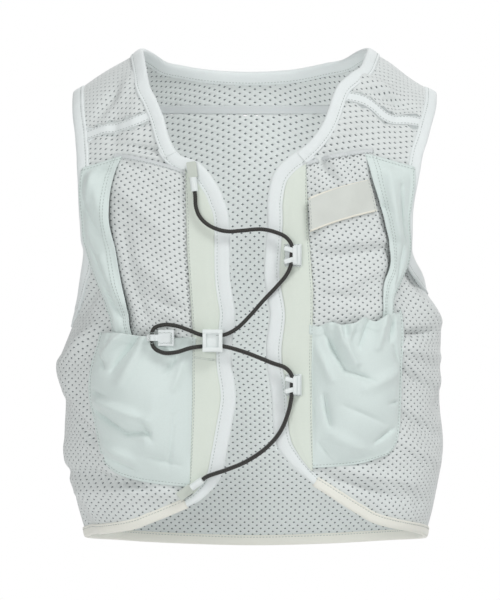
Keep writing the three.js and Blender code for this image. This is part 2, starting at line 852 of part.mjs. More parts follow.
const chestHigh = firstLayer + chestPocketRoom + clothWall;
for (const side of both) {
  const shape = chestPockets[side];
  const area = patch({ left: trace(shape.outer.map(front), 40), right: tapeSide(side, shape) });
  const rim = rimOf(area);
  const ramp = 2 * rim.u;
  const form = (u, v) =>
    rampUp(u - rim.u, ramp) * rampUp(1 - rim.u - u, ramp) * rampUp(v - rim.v, 2 * rim.v);
  const us = [rim.u, rim.u + ramp, 0.36, 0.64, 1 - rim.u - ramp, 1 - rim.u];
  const vs = [rim.v, 3 * rim.v, ...lines(7, 0.2, 1)];
  const room = { base: firstLayer, room: chestPocketRoom, us, vs, form, open: "top" };
  add("chest_pocket_" + side, pocket(area, room), "mesh");
}

const strapRamp = 0.35; // share of a strap pocket's width over which it lifts from its outer edge
for (const side of both) {
  const shape = strapPockets[side];
  const [left, right] = [shape.outer, shape.inner].map((edge) => trace(edge.map(front), 40));
  const area = patch({ left, right });
  const rim = rimOf(area);
  const form = (u, v) => {
    const ends = rampUp(v - rim.v, 4 * rim.v) * rampUp(1 - rim.v - v, 4 * rim.v);
    return rampUp(u - rim.u, strapRamp) * ends;
  };
  const us = [rim.u, ...lines(2, strapRamp, 1)];
  const vs = [rim.v, 3 * rim.v, ...lines(8, 0.18, 0.82), 1 - 3 * rim.v, 1 - rim.v];
  const room = { base: trimLow, room: strapPocketRoom, us, vs, form, open: "inner" };
  add("strap_pocket_" + side, pocket(area, room), "mint");
}

const flaskMouth = 0.55; // share of the room that the mouth keeps under its elastic
const flaskNeck = 0.55; // share of the height from which it draws in towards the mouth
const flaskFull = 0.4; // share of the height by which it is full
for (const side of both) {
  const shape = flaskPockets[side];
  const left = trace(shape.outer.map(front), 40);
  const right = tapeSide(side, shape);
  const bottom = trace([left[0], ...shape.base.map(front), right[0]], 24);
  const area = patch({ left, right, bottom });
  const rim = rimOf(area);
  const form = (u, v) => {
    const across = hump((u - rim.u) / (1 - 2 * rim.u), 0.7);
    const drawIn = smooth(clamp((v - flaskNeck) / (1 - flaskNeck), 0, 1));
    return across * rampUp(v - rim.v, flaskFull) * mix(1, flaskMouth, drawIn);
  };
  const us = [rim.u, ...lines(6, 0.12, 0.88), 1 - rim.u];
  const vs = [rim.v, 0.08, 0.16, ...lines(6, 0.26, 1)];
  const room = { base: firstLayer, room: flaskRoom, us, vs, form, open: "top" };
  add("flask_pocket_" + side, pocket(area, room), "mint");
}

// The woven label lies across the right chest pocket
const labelLine = (a, b) => trace([front(labelCorners[a]), front(labelCorners[b])], 8);
const labelArea = patch({ left: labelLine(0, 3), right: labelLine(1, 2) });
const labelLow = chestHigh + gap;
add("chest_label", sheet(labelArea, lines(6), lines(2), labelLow, labelLow + labelWall), "label");

// A frame on the front of the torso: x to the right, y up the cloth, z outwards
function seat(row, off, spin = 0) {
  const place = front(row);
  const { alongLane, normal } = directions(...place);
  const right = alongLane.clone().normalize();
  const up = normal.clone().cross(right);
  const frame = new THREE.Matrix4().makeBasis(right, up, normal);
  frame.setPosition(shell(place, off));
  return frame.multiply(new THREE.Matrix4().makeRotationZ(spin));
}
function addAt(name, geometry, material, frame) {
  add(name, geometry, material).applyMatrix4(frame);
}

// A plate with rounded corners, standing on z = 0
function plate(width, height, thick, radius) {
  const [x, y] = [width / 2, height / 2];
  const outline = new THREE.Shape();
  outline.moveTo(radius - x, -y);
  outline.lineTo(x - radius, -y);
  outline.absarc(x - radius, radius - y, radius, -quarter, 0);
  outline.absarc(x - radius, y - radius, radius, 0, quarter);
  outline.absarc(radius - x, y - radius, radius, quarter, 2 * quarter);
  outline.absarc(radius - x, radius - y, radius, 2 * quarter, 3 * quarter);
  const run = { depth: thick, bevelEnabled: false, curveSegments: 3 };
  return new THREE.ExtrudeGeometry(outline, run);
}

// An outline drawn across and outwards, run along the cloth's up direction and centred on it
function runUp(outline, length, curveSegments = 5) {
  const run = { depth: length, bevelEnabled: false, curveSegments };
  const geometry = new THREE.ExtrudeGeometry(outline, run);
  return geometry.rotateX(quarter).translate(0, length / 2, 0);
}

const channel = cordDiameter + 2 * cordPlay;

// Lace hooks on sewn pads: a channel closed by a lip with a slot between its two prongs
const hookPlaces = {
  upper: { across: 0.19, down: 0.41 },
  lower: { across: 0.193, down: 0.664 },
};
function laceHook() {
  const half = hookWidth / 2;
  const outline = new THREE.Shape();
  const high = 2 * plasticWall + channel;
  outline.moveTo(-half, 0);
  outline.lineTo(half, 0);
  outline.lineTo(half, high);
  outline.lineTo(-half, high);
  outline.lineTo(-half, high - plasticWall);
  outline.lineTo(half - plasticWall, high - plasticWall);
  outline.lineTo(half - plasticWall, plasticWall);
  outline.lineTo(-half, plasticWall);
  outline.closePath();
  const slot = new THREE.BoxGeometry(hookWidth, hookSlot, 2 * plasticWall + cordPlay);
  slot.translate(-half / 2 - plasticWall, 0, high - plasticWall / 2);
  return cut(runUp(outline, hookHeight), slot);
}
for (const [name, place] of Object.entries(hookPlaces)) {
  const pad = plate(padWidth, padHeight, padWall, plateCorner);
  addAt("hook_pad_" + name, pad, "binding", seat(place, trimLow));
  addAt("lace_hook_" + name, laceHook(), "plastic", seat(place, trimLow + padWall + gap));
}

// The slider: two channels side by side that the cord runs through
const sliderPlace = { across: -0.218, down: 0.577 };
const sliderHigh = channel + 2 * plasticWall;
const tunnels = [0.5, -0.5].map((half) => {
  const box = new THREE.BoxGeometry(2 * sliderWidth, channel, channel);
  return box.translate(0, half * sliderPitch, sliderHigh / 2);
});
const slider = cut(plate(sliderWidth, sliderHeight, sliderHigh, plateCorner), ...tunnels);
addAt("cord_slider", slider, "plastic", seat(sliderPlace, trimLow));

// The pull tab: a folded strip round the cord's loop
const tabPlace = { across: -0.443, down: 0.573 };
const eyeRadius = channel / 2;
const tabCord = firstLayer + flaskRoom * flaskMouth + clothWall + eyeRadius + plasticWall + gap;
function pullTab() {
  const [wall, half] = [plasticWall, tabWall / 2];
  const round = eyeRadius + wall;
  const turn = Math.asin(half / round);
  const outline = new THREE.Shape();
  outline.moveTo(eyeNeck + tabLength - round, -half);
  outline.lineTo(eyeNeck + tabLength - round, half);
  outline.absarc(0, 0, round, turn, 2 * Math.PI - turn);
  outline.closePath();
  const eye = new THREE.Path();
  eye.absarc(0, 0, eyeRadius, 0, 2 * Math.PI);
  outline.holes.push(eye);
  const corner = (tabHeight - eyeLength) / 2;
  const corners = [0.5, -0.5].map((half) => {
    const box = new THREE.BoxGeometry(2 * eyeNeck, corner, 3 * round);
    return box.translate(0, half * (eyeLength + corner), 0);
  });
  return cut(runUp(outline, tabHeight, 8), ...corners).translate(-tabLength / 2 - round, 0, 0);
}
addAt("pull_tab", pullTab(), "tape", seat(tabPlace, tabCord));

// Anchors at the cord's two ends: a sewn loop of tape and the sleeve that holds the cord in it
const anchors = {
  top: { place: { across: -0.325, down: 0.243 }, spin: -0.09 },
  bottom: { place: { across: -0.36, down: 0.875 }, spin: 2.2 },
};
for (const [name, { place, spin }] of Object.entries(anchors)) {
  const frame = seat(place, trimLow, spin);
  addAt("cord_anchor_" + name, plate(anchorWidth, anchorLength, tabWall, 1), "tape", frame);
  const round = sleeveDiameter / 2;
  const sleeve = new THREE.CylinderGeometry(round, round, sleeveLength, 12);
  sleeve.translate(0, -(anchorLength + sleeveLength) / 2 - gap, round);
  addAt("cord_sleeve_" + name, sleeve, "plastic", frame);
}

// The elastic cord: from the top sleeve through the upper hook and the slider, round through the
// pull tab, back through the slider and the lower hook to the bottom sleeve
const cordRoute = [
  [-47.1, -94.3, -113.6],
  [-46.8, -94.9, -117],
  [-46.3, -94.9, -125],
  [-43.5, -95.2, -132.5],
  [-38, -96, -138.4],
  [-30, -97, -142.6],
  [-21, -97.7, -144.5],
  [-9.5, -98, -143.8],
  [5, -98.6, -142.8],
  [15.5, -99.3, -145],
  [24, -99.5, -149],
  [28.6, -99.6, -155.5],
  [28.3, -99.8, -163],
  [27.8, -100, -171],
  [24, -99.9, -179],
  [16.7, -99.2, -187.6],
  [7, -99, -197.8],
  [-3.8, -99, -210],
  [-14, -99, -220],
  [-24.3, -99, -225.2],
  [-33.3, -98.4, -225.3],
  [-42.3, -97.7, -225.1],
  [-51.5, -98.2, -221.6],
  [-61, -98.9, -218.3],
  [-71, -98.8, -217.3],
  [-78.6, -98.2, -219.8],
  [-80.8, -98.2, -224.8],
  [-80.9, -98.3, -230],
  [-78.6, -98.7, -235.6],
  [-71, -100.4, -239.3],
  [-61, -101, -238.6],
  [-51.3, -99.2, -235.7],
  [-42.3, -97.7, -234.3],
  [-33.3, -98.3, -234.1],
  [-24.3, -99, -234.3],
  [-10.3, -99, -238],
  [2.4, -99, -242.7],
  [13.5, -99.2, -247.2],
  [24, -99.4, -251.2],
  [28.6, -99.3, -257.2],
  [28.6, -99.1, -264.5],
  [28.5, -98.9, -272.2],
  [25.9, -98.2, -285.5],
  [19.4, -97.4, -301],
  [8, -96.8, -314],
  [-8, -96.2, -324.6],
  [-23, -95.2, -330.8],
  [-37.6, -94.6, -335.9],
  [-40.85, -94, -338.2],
];
const cordSteps = 66;
const cordSides = 8;
const cordSection = new THREE.Shape(
  lines(cordSides)
    .slice(0, -1)
    .map((t) => 4 * quarter * t)
    .map((a) => new THREE.Vector2(Math.cos(a), Math.sin(a)).multiplyScalar(cordDiameter / 2)),
);
const cordPath = new THREE.CatmullRomCurve3(cordRoute.map((p) => new THREE.Vector3(...p)));
const cordShape = { steps: cordSteps, bevelEnabled: false, extrudePath: cordPath };
add("elastic_cord", new THREE.ExtrudeGeometry(cordSection, cordShape), "cord");

export default vest;
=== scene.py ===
import bpy
import itertools
import json
import math
import numpy as np
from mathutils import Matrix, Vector

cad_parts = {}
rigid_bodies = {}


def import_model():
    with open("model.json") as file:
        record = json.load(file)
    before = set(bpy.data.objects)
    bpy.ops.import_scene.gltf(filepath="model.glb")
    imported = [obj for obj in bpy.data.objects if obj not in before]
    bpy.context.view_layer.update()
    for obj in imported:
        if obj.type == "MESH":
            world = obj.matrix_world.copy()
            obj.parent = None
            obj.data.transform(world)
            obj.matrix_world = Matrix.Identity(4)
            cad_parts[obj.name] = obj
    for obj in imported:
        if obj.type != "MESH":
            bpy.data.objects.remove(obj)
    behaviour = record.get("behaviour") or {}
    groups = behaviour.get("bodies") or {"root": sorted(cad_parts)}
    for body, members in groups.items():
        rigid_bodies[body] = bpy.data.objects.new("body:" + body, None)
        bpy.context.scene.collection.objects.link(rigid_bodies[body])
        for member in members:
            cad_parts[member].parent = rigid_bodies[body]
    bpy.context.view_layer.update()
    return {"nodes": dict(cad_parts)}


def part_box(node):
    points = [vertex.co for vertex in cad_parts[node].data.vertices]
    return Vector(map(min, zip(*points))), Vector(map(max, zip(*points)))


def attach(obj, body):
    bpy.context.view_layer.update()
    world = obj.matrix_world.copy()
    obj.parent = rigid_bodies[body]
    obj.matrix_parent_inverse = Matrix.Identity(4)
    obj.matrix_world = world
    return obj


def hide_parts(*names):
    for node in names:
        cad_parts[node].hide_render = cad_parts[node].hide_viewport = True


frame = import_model()
nodes = frame["nodes"]
print("frame loaded")

quarter = math.pi / 2
fullTurn = 2 * math.pi
mm = 0.001

# The camera, 4 m in front of the vest
cameraSetup = {"place": (-0.004, -4.0, -0.198), "lens": 300, "sensor": 36}


def addCamera():
    data = bpy.data.cameras.new("photoCamera")
    data.lens = cameraSetup["lens"]
    data.sensor_width = cameraSetup["sensor"]
    camera = bpy.data.objects.new("photoCamera", data)
    camera.location = cameraSetup["place"]
    camera.rotation_euler = (quarter, 0, 0)
    bpy.context.collection.objects.link(camera)
    bpy.context.scene.camera = camera


addCamera()

# The torso surface, in mm
torso = {
    "halfWidth": 150, "halfDepth": 92, "vestHeight": 398, "armpitDrop": 199,
    "halfSpread": 186, "neckHalf": 89, "armHalf": 144, "shoulderFall": 37, "crestTop": 1,
    "crestEase": 40, "sideSquare": 0.25, "overSquare": 0.3, "widenShare": 0.45,
}
# How the girth changes downwards, as shares of the half width and the half depth
sections = {
    "down": (0.4, 0.46, 0.53, 0.63, 0.7, 0.8, 0.9, 1.0),
    "left": (0.93, 0.94, 0.95, 1.03, 1.0, 1.0, 0.945, 0.865),
    "right": (0.84, 0.88, 0.975, 0.975, 0.975, 0.99, 0.955, 0.865),
    "front": (1.0, 1.0, 1.0, 0.99, 0.98, 0.97, 0.95, 0.92),
    "back": (1.0, 1.0, 0.99, 0.97, 0.96, 0.96, 0.95, 0.92),
}
armpitZ = -torso["armpitDrop"]
crestSlope = torso["shoulderFall"] / (torso["armHalf"] - torso["neckHalf"])
downPerW = (torso["armpitDrop"] + torso["crestTop"]) * quarter
sectionDown = np.array(sections["down"])


def columnSlopes(column):
    values = np.array(sections[column])
    slopes = np.empty(len(values))
    slopes[1:-1] = (values[2:] - values[:-2]) / (sectionDown[2:] - sectionDown[:-2])
    slopes[0] = (values[1] - values[0]) / (sectionDown[1] - sectionDown[0])
    slopes[-1] = (values[-1] - values[-2]) / (sectionDown[-1] - sectionDown[-2])
    return values, slopes


columns = {name: columnSlopes(name) for name in ("left", "right", "front", "back")}


def section(column, down):
    values, slopes = columns[column]
    i = np.clip(np.searchsorted(sectionDown[1:-1], down), 0, len(values) - 2)
    span = sectionDown[i + 1] - sectionDown[i]
    t = np.clip((down - sectionDown[i]) / span, 0, 1)
    t2, t3 = t * t, t * t * t
    start = (2 * t3 - 3 * t2 + 1) * values[i] + (t3 - 2 * t2 + t) * slopes[i] * span
    end = (3 * t2 - 2 * t3) * values[i + 1] + (t3 - t2) * slopes[i + 1] * span
    return start + end


def rise(t, start, length):
    return smooth((t - start) / length)


def mix(a, b, t):
    return a + (b - a) * t


def smooth(t):
    t = np.clip(t, 0, 1)
    return t * t * (3 - 2 * t)


# The length travelled at each point of a line
def pathMarks(points):
    return np.concatenate([[0], np.cumsum(np.linalg.norm(np.diff(points, axis=0), axis=1))])


# A line read off at other marks
def readOff(goal, marks, line):
    return np.stack([np.interp(goal, marks, column) for column in line.T], axis=-1)


def crestZ(x):
    ease = torso["crestEase"]
    reach = np.hypot(x, ease) - math.hypot(torso["neckHalf"], ease)
    return torso["crestTop"] - crestSlope * reach


def plainZ(w):
    a = np.abs(w)
    middle = crestZ((torso["neckHalf"] + torso["armHalf"]) / 2)
    over = mix(armpitZ, middle, np.cos(np.minimum(a, 1) * quarter))
    return np.where(a >= 1, armpitZ - (a - 1) * downPerW, over)


def girth(w):
    down = -plainZ(w) / torso["vestHeight"]
    left = section("left", down) * torso["halfWidth"]
    right = section("right", down) * torso["halfWidth"]
    widen = smooth((1 - np.abs(w)) / torso["widenShare"])
    return mix((right - left) / 2, 0, widen), mix((right + left) / 2, torso["halfSpread"], widen)


def torsoPoint(lane, w):
    middle, half = girth(w)
    angle = lane * quarter
    x = middle + half * np.sin(angle)
    down = -plainZ(w) / torso["vestHeight"]
    deep = np.where(w < 0, section("front", down), section("back", down)) * torso["halfDepth"]
    across = np.cos(angle) * (1 + torso["sideSquare"] * np.sin(angle) ** 2)
    turn = np.clip(w, -1, 1) * quarter
    over = np.sin(turn) * (1 + torso["overSquare"] * np.cos(turn) ** 2)
    z = np.where(np.abs(w) >= 1, plainZ(w), mix(armpitZ, crestZ(x), np.cos(turn)))
    return np.stack([x, deep * across * over, z], axis=-1)


def unit(v):
    return v / np.maximum(np.linalg.norm(v, axis=-1, keepdims=True), 1e-12)


def directions(lane, w):
    step = 1e-4
    alongLane = (torsoPoint(lane + step, w) - torsoPoint(lane - step, w)) / (2 * step)
    alongW = (torsoPoint(lane, w + step) - torsoPoint(lane, w - step)) / (2 * step)
    return alongLane, alongW, unit(np.cross(alongLane, alongW))


def flat(face, places):
    places = np.asarray(places, float).reshape(-1, 2)
    x = places[:, 0] * torso["halfWidth"]
    z = -places[:, 1] * torso["vestHeight"]
    lift = np.clip((z - armpitZ) / (crestZ(x) - armpitZ), 0, 1)
    w = np.where(z > armpitZ, np.arccos(lift) / quarter, 1 + (armpitZ - z) / downPerW) * face
    middle, half = girth(w)
    return np.stack([np.arcsin(np.clip((x - middle) / half, -1, 1)) / quarter, w], axis=-1)


def front(*places):
    return flat(-1, places)


def back(*places):
    return flat(1, places)


# Large folds of the cloth on the front (-1) and the back (1): from (across, down) to (across, down)
# as shares of the half width and the height, then how high and how wide they are in mm
folds = {
    -1: [
        (0.99, 0.705, 1.08, 0.73, -5, 7), (1.0, 0.66, 1.12, 0.69, 3, 9),
        (-1.0, 0.89, -0.8, 1.0, -5, 7), (-1.02, 0.8, -0.86, 0.9, 4, 9),
        (0.65, 0.83, 0.86, 0.9, -3, 6), (0.5, 0.87, 0.8, 0.93, 2.5, 7),
        (-0.73, 0.1, -0.74, 0.19, -2.5, 5), (-0.62, 0.08, -0.64, 0.2, 1.5, 5),
        (0.75, 0.1, 0.74, 0.2, -2, 6), (-0.9, 0.4, -0.8, 0.5, -2.5, 6),
    ],
    1: [
        (-0.35, 0.955, -0.15, 0.965, 2.5, 4), (-0.3, 0.935, 0.1, 0.94, -2, 5),
        (-0.5, 0.3, 0.1, 0.6, 2, 18), (0.6, 0.35, 0.2, 0.7, -2, 16),
    ],
}
# Long waves: turns per mm across and down, start and height; they are low near the middle
waves = [(0.043, 0.021, 0.4, 0.5), (-0.031, 0.037, 2.1, 0.5), (0.071, -0.052, 4.0, 0.25)]
calm = {"within": 25, "over": 50, "least": 0.15}
sideFade = 16


# How far along a line a place is, and how far off it
def offLine(x, y, ax, ay, bx, by):
    dx, dy = bx - ax, by - ay
    near = np.clip(((x - ax) * dx + (y - ay) * dy) / (dx * dx + dy * dy), 0, 1)
    return near, np.hypot(x - ax - near * dx, y - ay - near * dy)


def foldHeight(points, w):
    x, z = points[..., 0], points[..., 2]
    height = np.zeros_like(x)
    for across, down, start, high in waves:
        height += high * np.sin(across * x * 2 + down * z * 2 + start)
    height *= np.clip((np.abs(x) - calm["within"]) / calm["over"], calm["least"], 1)
    fade = smooth(np.abs(points[..., 1]) / sideFade)
    wide, tall = torso["halfWidth"], torso["vestHeight"]
    for face, rows in folds.items():
        ownFace = np.where(np.sign(w) == face, 1, 0) * fade
        for ax, ad, bx, bd, high, spread in rows:
            away = offLine(x, z, ax * wide, -ad * tall, bx * wide, -bd * tall)[1]
            height += ownFace * high * np.exp(-((away / spread) ** 2))
    return height


view = {"acrossMid": 255, "top": 52, "scale": 0.8, "distance": 4000}
# Softer folds of one layer: from (across, down) to (across, down) in pixels of the photograph,
# then how high and how wide they are in mm
creases = {
    "body": [
        (95, 330, 70, 360, 3.0, 8), (62, 365, 88, 432, 2.6, 7), (72, 400, 100, 455, -3.0, 5),
        (88, 440, 116, 478, 2.2, 7), (70, 470, 150, 494, -2.4, 6), (84, 492, 170, 497, 2.2, 7),
        (90, 455, 140, 486, -1.6, 5), (404, 338, 430, 334, -3.0, 5), (402, 350, 434, 358, 2.0, 8),
        (398, 372, 432, 392, -2.0, 6), (404, 420, 436, 436, -2.2, 7), (400, 444, 432, 462, 2.0, 8),
        (330, 480, 402, 504, -2.2, 6), (340, 474, 412, 486, 2.0, 7), (396, 255, 418, 290, -2.4, 6),
        (404, 290, 436, 322, 2.2, 8), (98, 280, 84, 316, -2.2, 6), (132, 80, 112, 116, 1.4, 7),
        (120, 92, 98, 120, -1.4, 6), (128, 150, 166, 156, -1.8, 4), (360, 82, 396, 100, 1.8, 7),
        (372, 96, 410, 112, -1.6, 5), (330, 140, 372, 118, 1.2, 8),
    ],
    "chest_left": [
        (124, 168, 150, 178, -1.4, 5), (118, 190, 160, 232, 1.4, 9), (126, 232, 146, 318, -1.8, 6),
        (150, 190, 182, 206, -1.0, 6), (136, 262, 184, 300, 1.2, 10), (150, 300, 186, 318, -1.2, 6),
    ],
    "chest_right": [
        (313, 152, 332, 186, -2.2, 5), (322, 152, 346, 190, 1.8, 6), (346, 158, 356, 186, -1.4, 4),
        (326, 262, 384, 252, -1.8, 6), (318, 250, 380, 240, 1.4, 8), (330, 296, 384, 268, 1.2, 8),
        (316, 300, 372, 306, -1.4, 6),
    ],
    "flask_left": [
        (146, 337, 118, 374, -3.4, 5), (136, 334, 108, 360, 2.8, 6), (150, 345, 128, 385, 2.2, 7),
        (186, 346, 168, 378, -2.2, 5), (188, 360, 176, 392, 1.6, 5), (102, 414, 133, 437, -3.2, 5),
        (133, 437, 154, 437, -2.6, 4), (106, 404, 150, 424, 2.4, 6), (146, 424, 156, 444, -2.0, 4),
        (98, 352, 110, 372, -2.2, 5), (94, 392, 112, 398, -1.8, 4), (108, 448, 140, 466, 2.2, 7),
        (110, 462, 138, 474, -2.2, 4), (150, 460, 182, 470, -1.4, 6), (160, 400, 150, 460, 1.4, 9),
        (176, 420, 170, 476, -1.2, 5), (158, 352, 176, 360, 1.8, 4), (114, 328, 124, 338, -2.0, 4),
    ],
    "flask_right": [
        (322, 332, 342, 374, -3.2, 5), (334, 330, 350, 366, 2.8, 6), (342, 374, 366, 384, -2.2, 5),
        (366, 322, 356, 350, -2.4, 5), (380, 318, 372, 350, 2.2, 5), (392, 316, 386, 344, -2.0, 4),
        (352, 324, 346, 340, 2.0, 4), (323, 400, 328, 430, -2.6, 4), (314, 350, 328, 384, 1.8, 5),
        (390, 350, 398, 380, -1.8, 5), (360, 392, 396, 372, 2.0, 8), (340, 410, 380, 428, -1.6, 8),
        (330, 440, 360, 458, 1.8, 8), (318, 448, 332, 464, -2.0, 4), (372, 446, 394, 430, -2.2, 5),
        (382, 408, 400, 404, -1.6, 4), (350, 464, 376, 460, -1.4, 5),
    ],
    "strap_left": [
        (90, 172, 112, 176, -1.6, 5), (98, 168, 92, 200, 1.6, 6), (84, 200, 104, 236, -1.6, 6),
        (100, 190, 112, 240, 1.8, 7), (92, 240, 116, 290, -2.0, 6), (108, 262, 130, 312, 1.6, 6),
        (112, 290, 126, 322, -1.8, 4),
    ],
    "strap_right": [
        (398, 190, 402, 246, -2.6, 5), (386, 178, 392, 236, 1.8, 7), (398, 246, 388, 290, -2.0, 5),
        (386, 252, 384, 300, 1.6, 6), (376, 166, 404, 172, -1.4, 5), (378, 208, 386, 214, -1.0, 4),
    ],
}

# Each layer's folds are raised by its share; valleys of the mint cloth close sharply
pressing = {"body": 2.3, "chest": 1.9, "flask": 2.1, "strap": 1.9}
crispness = {"ridge": 0.82, "valley": 0.75, "ends": 0.55, "middle": 0.45}


def pressed(layer, lane, w):
    place = torsoPoint(lane, w)
    k = (1 + place[..., 1] / view["distance"]) * view["scale"]
    px, py = view["acrossMid"] + place[..., 0] / k, view["top"] - place[..., 2] / k
    height = np.zeros(px.shape)
    for *line, high, wide in creases[layer]:
        near, away = offLine(px, py, *line)
        width = wide * crispness["ridge"]
        if high < 0 and layer.startswith(("flask", "strap")):
            bend = np.exp(-away / (width * crispness["valley"]))
        else:
            bend = np.exp(-((away / width) ** 2))
        height += high * bend * (crispness["ends"] + crispness["middle"] * np.sin(math.pi * near))
    height *= pressing[layer.split("_")[0]] * smooth(np.abs(place[..., 1]) / sideFade)
    return np.where(np.asarray(w) < 0, height, 0)


# A point of the cloth, off mm outside the torso
def clothPoint(lane, w, off):
    base = torsoPoint(lane, w)
    normal = directions(lane, w)[2]
    return base + normal * (off + foldHeight(base, w))[..., None]


# Edges, as lines of (lane, w)
def trace(places, count):
    p = np.vstack([places[:1], places, places[-1:]])
    dense = []
    for i in range(len(places) - 1):
        t = np.linspace(0, 1, 60, endpoint=False)[:, None]
        p0, p1, p2, p3 = p[i], p[i + 1], p[i + 2], p[i + 3]
        v0, v1 = (p2 - p0) / 2, (p3 - p1) / 2
        curve = (2 * p1 - 2 * p2 + v0 + v1) * t**3 + (3 * p2 - 3 * p1 - 2 * v0 - v1) * t**2
        dense.append(curve + v0 * t + p1)
    dense = np.vstack([*dense, places[-1:]])
    marks = pathMarks(dense)
    goal = np.linspace(0, marks[-1], count)
    return readOff(goal, marks, dense)


# A line moved sideways over the cloth, to its left as seen from outside
def inset(line, distance, closed=False):
    points = torsoPoint(line[:, 0], line[:, 1])
    ahead = np.roll(points, -1, axis=0) - points
    if not closed:
        ahead[-1] = points[-1] - points[-2]
    behind = np.roll(ahead, 1, axis=0)
    if not closed:
        behind[0] = ahead[0]
    tangent = ahead + behind
    for i in np.where(np.linalg.norm(ahead, axis=1) < 0.01)[0]:
        j = (i + 1) % len(line)
        tangent[i] = tangent[j] = behind[i] + ahead[j]
    alongLane, alongW, normal = directions(line[:, 0], line[:, 1])
    far = np.broadcast_to(np.asarray(distance, float), (len(line),))
    aside = unit(np.cross(normal, tangent)) * far[:, None]
    pairs = ((alongLane, alongLane), (alongLane, alongW), (alongW, alongW))
    ll, lw, ww = [(a * b).sum(-1) for a, b in pairs]
    dl, dw = (alongLane * aside).sum(-1), (alongW * aside).sum(-1)
    det = ll * ww - lw * lw
    return line + np.stack([(dl * ww - dw * lw) / det, (dw * ll - dl * lw) / det], axis=-1)


def crossing(a, b):
    for i in range(len(a) - 1):
        d = a[i + 1] - a[i]
        e = b[1:] - b[:-1]
        f = b[:-1] - a[i]
        det = d[0] * e[:, 1] - d[1] * e[:, 0]
        det = np.where(np.abs(det) < 1e-14, 1e-14, det)
        ta = (f[:, 0] * e[:, 1] - f[:, 1] * e[:, 0]) / det
        tb = (f[:, 0] * d[1] - f[:, 1] * d[0]) / det
        hit = np.where((ta >= 0) & (ta <= 1) & (tb >= 0) & (tb <= 1))[0]
        if len(hit):
            return i + ta[hit[0]], hit[0] + tb[hit[0]]
    raise ValueError("two edges do not cross")


def stretch(line, start, end):
    if start > end:
        return stretch(line, end, start)[::-1]
    inner = [k for k in range(len(line)) if start < k < end]
    marks = np.array([start, *inner, end])
    return readOff(marks, np.arange(len(line)), line)


def nearest(line, place):
    goal = torsoPoint(*np.asarray(place, float).reshape(2))
    return int(np.argmin(np.linalg.norm(torsoPoint(line[:, 0], line[:, 1]) - goal, axis=1)))


def lengths(line):
    return pathMarks(torsoPoint(line[:, 0], line[:, 1]))


def even(line):
    marks = lengths(line)

    def at(t):
        return readOff(np.clip(t, 0, 1) * marks[-1], marks, line)

    return at


def together(u, v):
    return np.broadcast_arrays(np.asarray(u, float), np.asarray(v, float))


# A patch between four edges: left and right run upwards, bottom and top from left to right
def patch(left, right, bottom=None, top=None):
    l, r = even(left), even(right)
    b = even(bottom) if bottom is not None else lambda u: mix(l(u * 0), r(u * 0), u[..., None])
    t = even(top) if top is not None else lambda u: mix(l(u * 0 + 1), r(u * 0 + 1), u[..., None])

    def at(u, v):
        u, v = together(u, v)
        uu, vv = u[..., None], v[..., None]
        low = mix(l(u * 0), r(u * 0), uu)
        high = mix(l(u * 0 + 1), r(u * 0 + 1), uu)
        place = mix(l(v), r(v), uu) + mix(b(u), t(u), vv) - mix(low, high, vv)
        return place[..., 0], place[..., 1]

    return at


edges = {
    "openingLeft": [
        (-0.35, 0.903), (-0.266, 0.884), (-0.177, 0.84), (-0.125, 0.744), (-0.109, 0.662),
        (-0.112, 0.548), (-0.136, 0.361), (-0.172, 0.296), (-0.224, 0.259), (-0.295, 0.229),
        (-0.391, 0.214), (-0.44, 0.188), (-0.48, 0.14), (-0.52, 0.102), (-0.567, 0.057),
    ],
    "openingRight": [
        (0.565, 0.03), (0.5, 0.052), (0.43, 0.078), (0.372, 0.136), (0.318, 0.172),
        (0.251, 0.199), (0.16, 0.223), (0.096, 0.253), (0.068, 0.302), (0.063, 0.37),
        (0.069, 0.498), (0.065, 0.575), (0.078, 0.656), (0.104, 0.766), (0.172, 0.813),
        (0.3, 0.858),
    ],
    "neckBack": [
        (-0.5, 0.012), (-0.38, 0.024), (-0.2, 0.032), (0, 0.034), (0.2, 0.03), (0.38, 0.018),
        (0.5, 0.008),
    ],
    "neckCorners": {"left": (-0.435, 0.196), "right": (0.251, 0.199)},
    "hemLeft": [(-0.35, 0.906), (-0.533, 0.935), (-0.69, 0.954)],
    "hemRight": [(0.3, 0.862), (0.523, 0.916), (0.69, 0.945)],
    "hemBack": [(-0.6, 0.99), (-0.3, 0.997), (0, 1), (0.3, 0.997), (0.6, 0.99)],
    "hemSide": 0.972,
}
armholes = {
    "left": {
        "bottom": 0.53,
        "front": [
            (-0.955, 0.125), (-0.94, 0.18), (-0.922, 0.26), (-0.91, 0.34), (-0.905, 0.41),
            (-0.925, 0.48),
        ],
        "back": [(-0.91, 0.47), (-0.88, 0.38), (-0.88, 0.26), (-0.92, 0.15)],
    },
    "right": {
        "bottom": 0.465,
        "front": [
            (0.95, 0.115), (0.904, 0.174), (0.862, 0.231), (0.83, 0.3), (0.82, 0.364),
            (0.835, 0.42),
        ],
        "back": [(0.84, 0.42), (0.81, 0.36), (0.82, 0.26), (0.89, 0.15)],
    },
}
bandRows = {
    "left": [
        (-1.02, 0.182), (-0.9, 0.173), (-0.79, 0.16), (-0.66, 0.152), (-0.54, 0.13), (-0.42, 0.105),
    ],
    "right": [
        (1.02, 0.153), (0.9, 0.148), (0.78, 0.142), (0.69, 0.137), (0.58, 0.106), (0.46, 0.094),
        (0.34, 0.085),
    ],
}
tapeEdges = {
    "left": [(-0.34, 0.872), (-0.326, 0.734), (-0.323, 0.557), (-0.351, 0.4), (-0.362, 0.238)],
    "right": [(0.299, 0.832), (0.292, 0.62), (0.3, 0.479), (0.275, 0.36), (0.264, 0.229)],
}
sides = {"left": -1, "right": 1}


def crestPlace(side, half):
    return np.array([[math.asin(side * half / torso["halfSpread"]) / quarter, 0]])


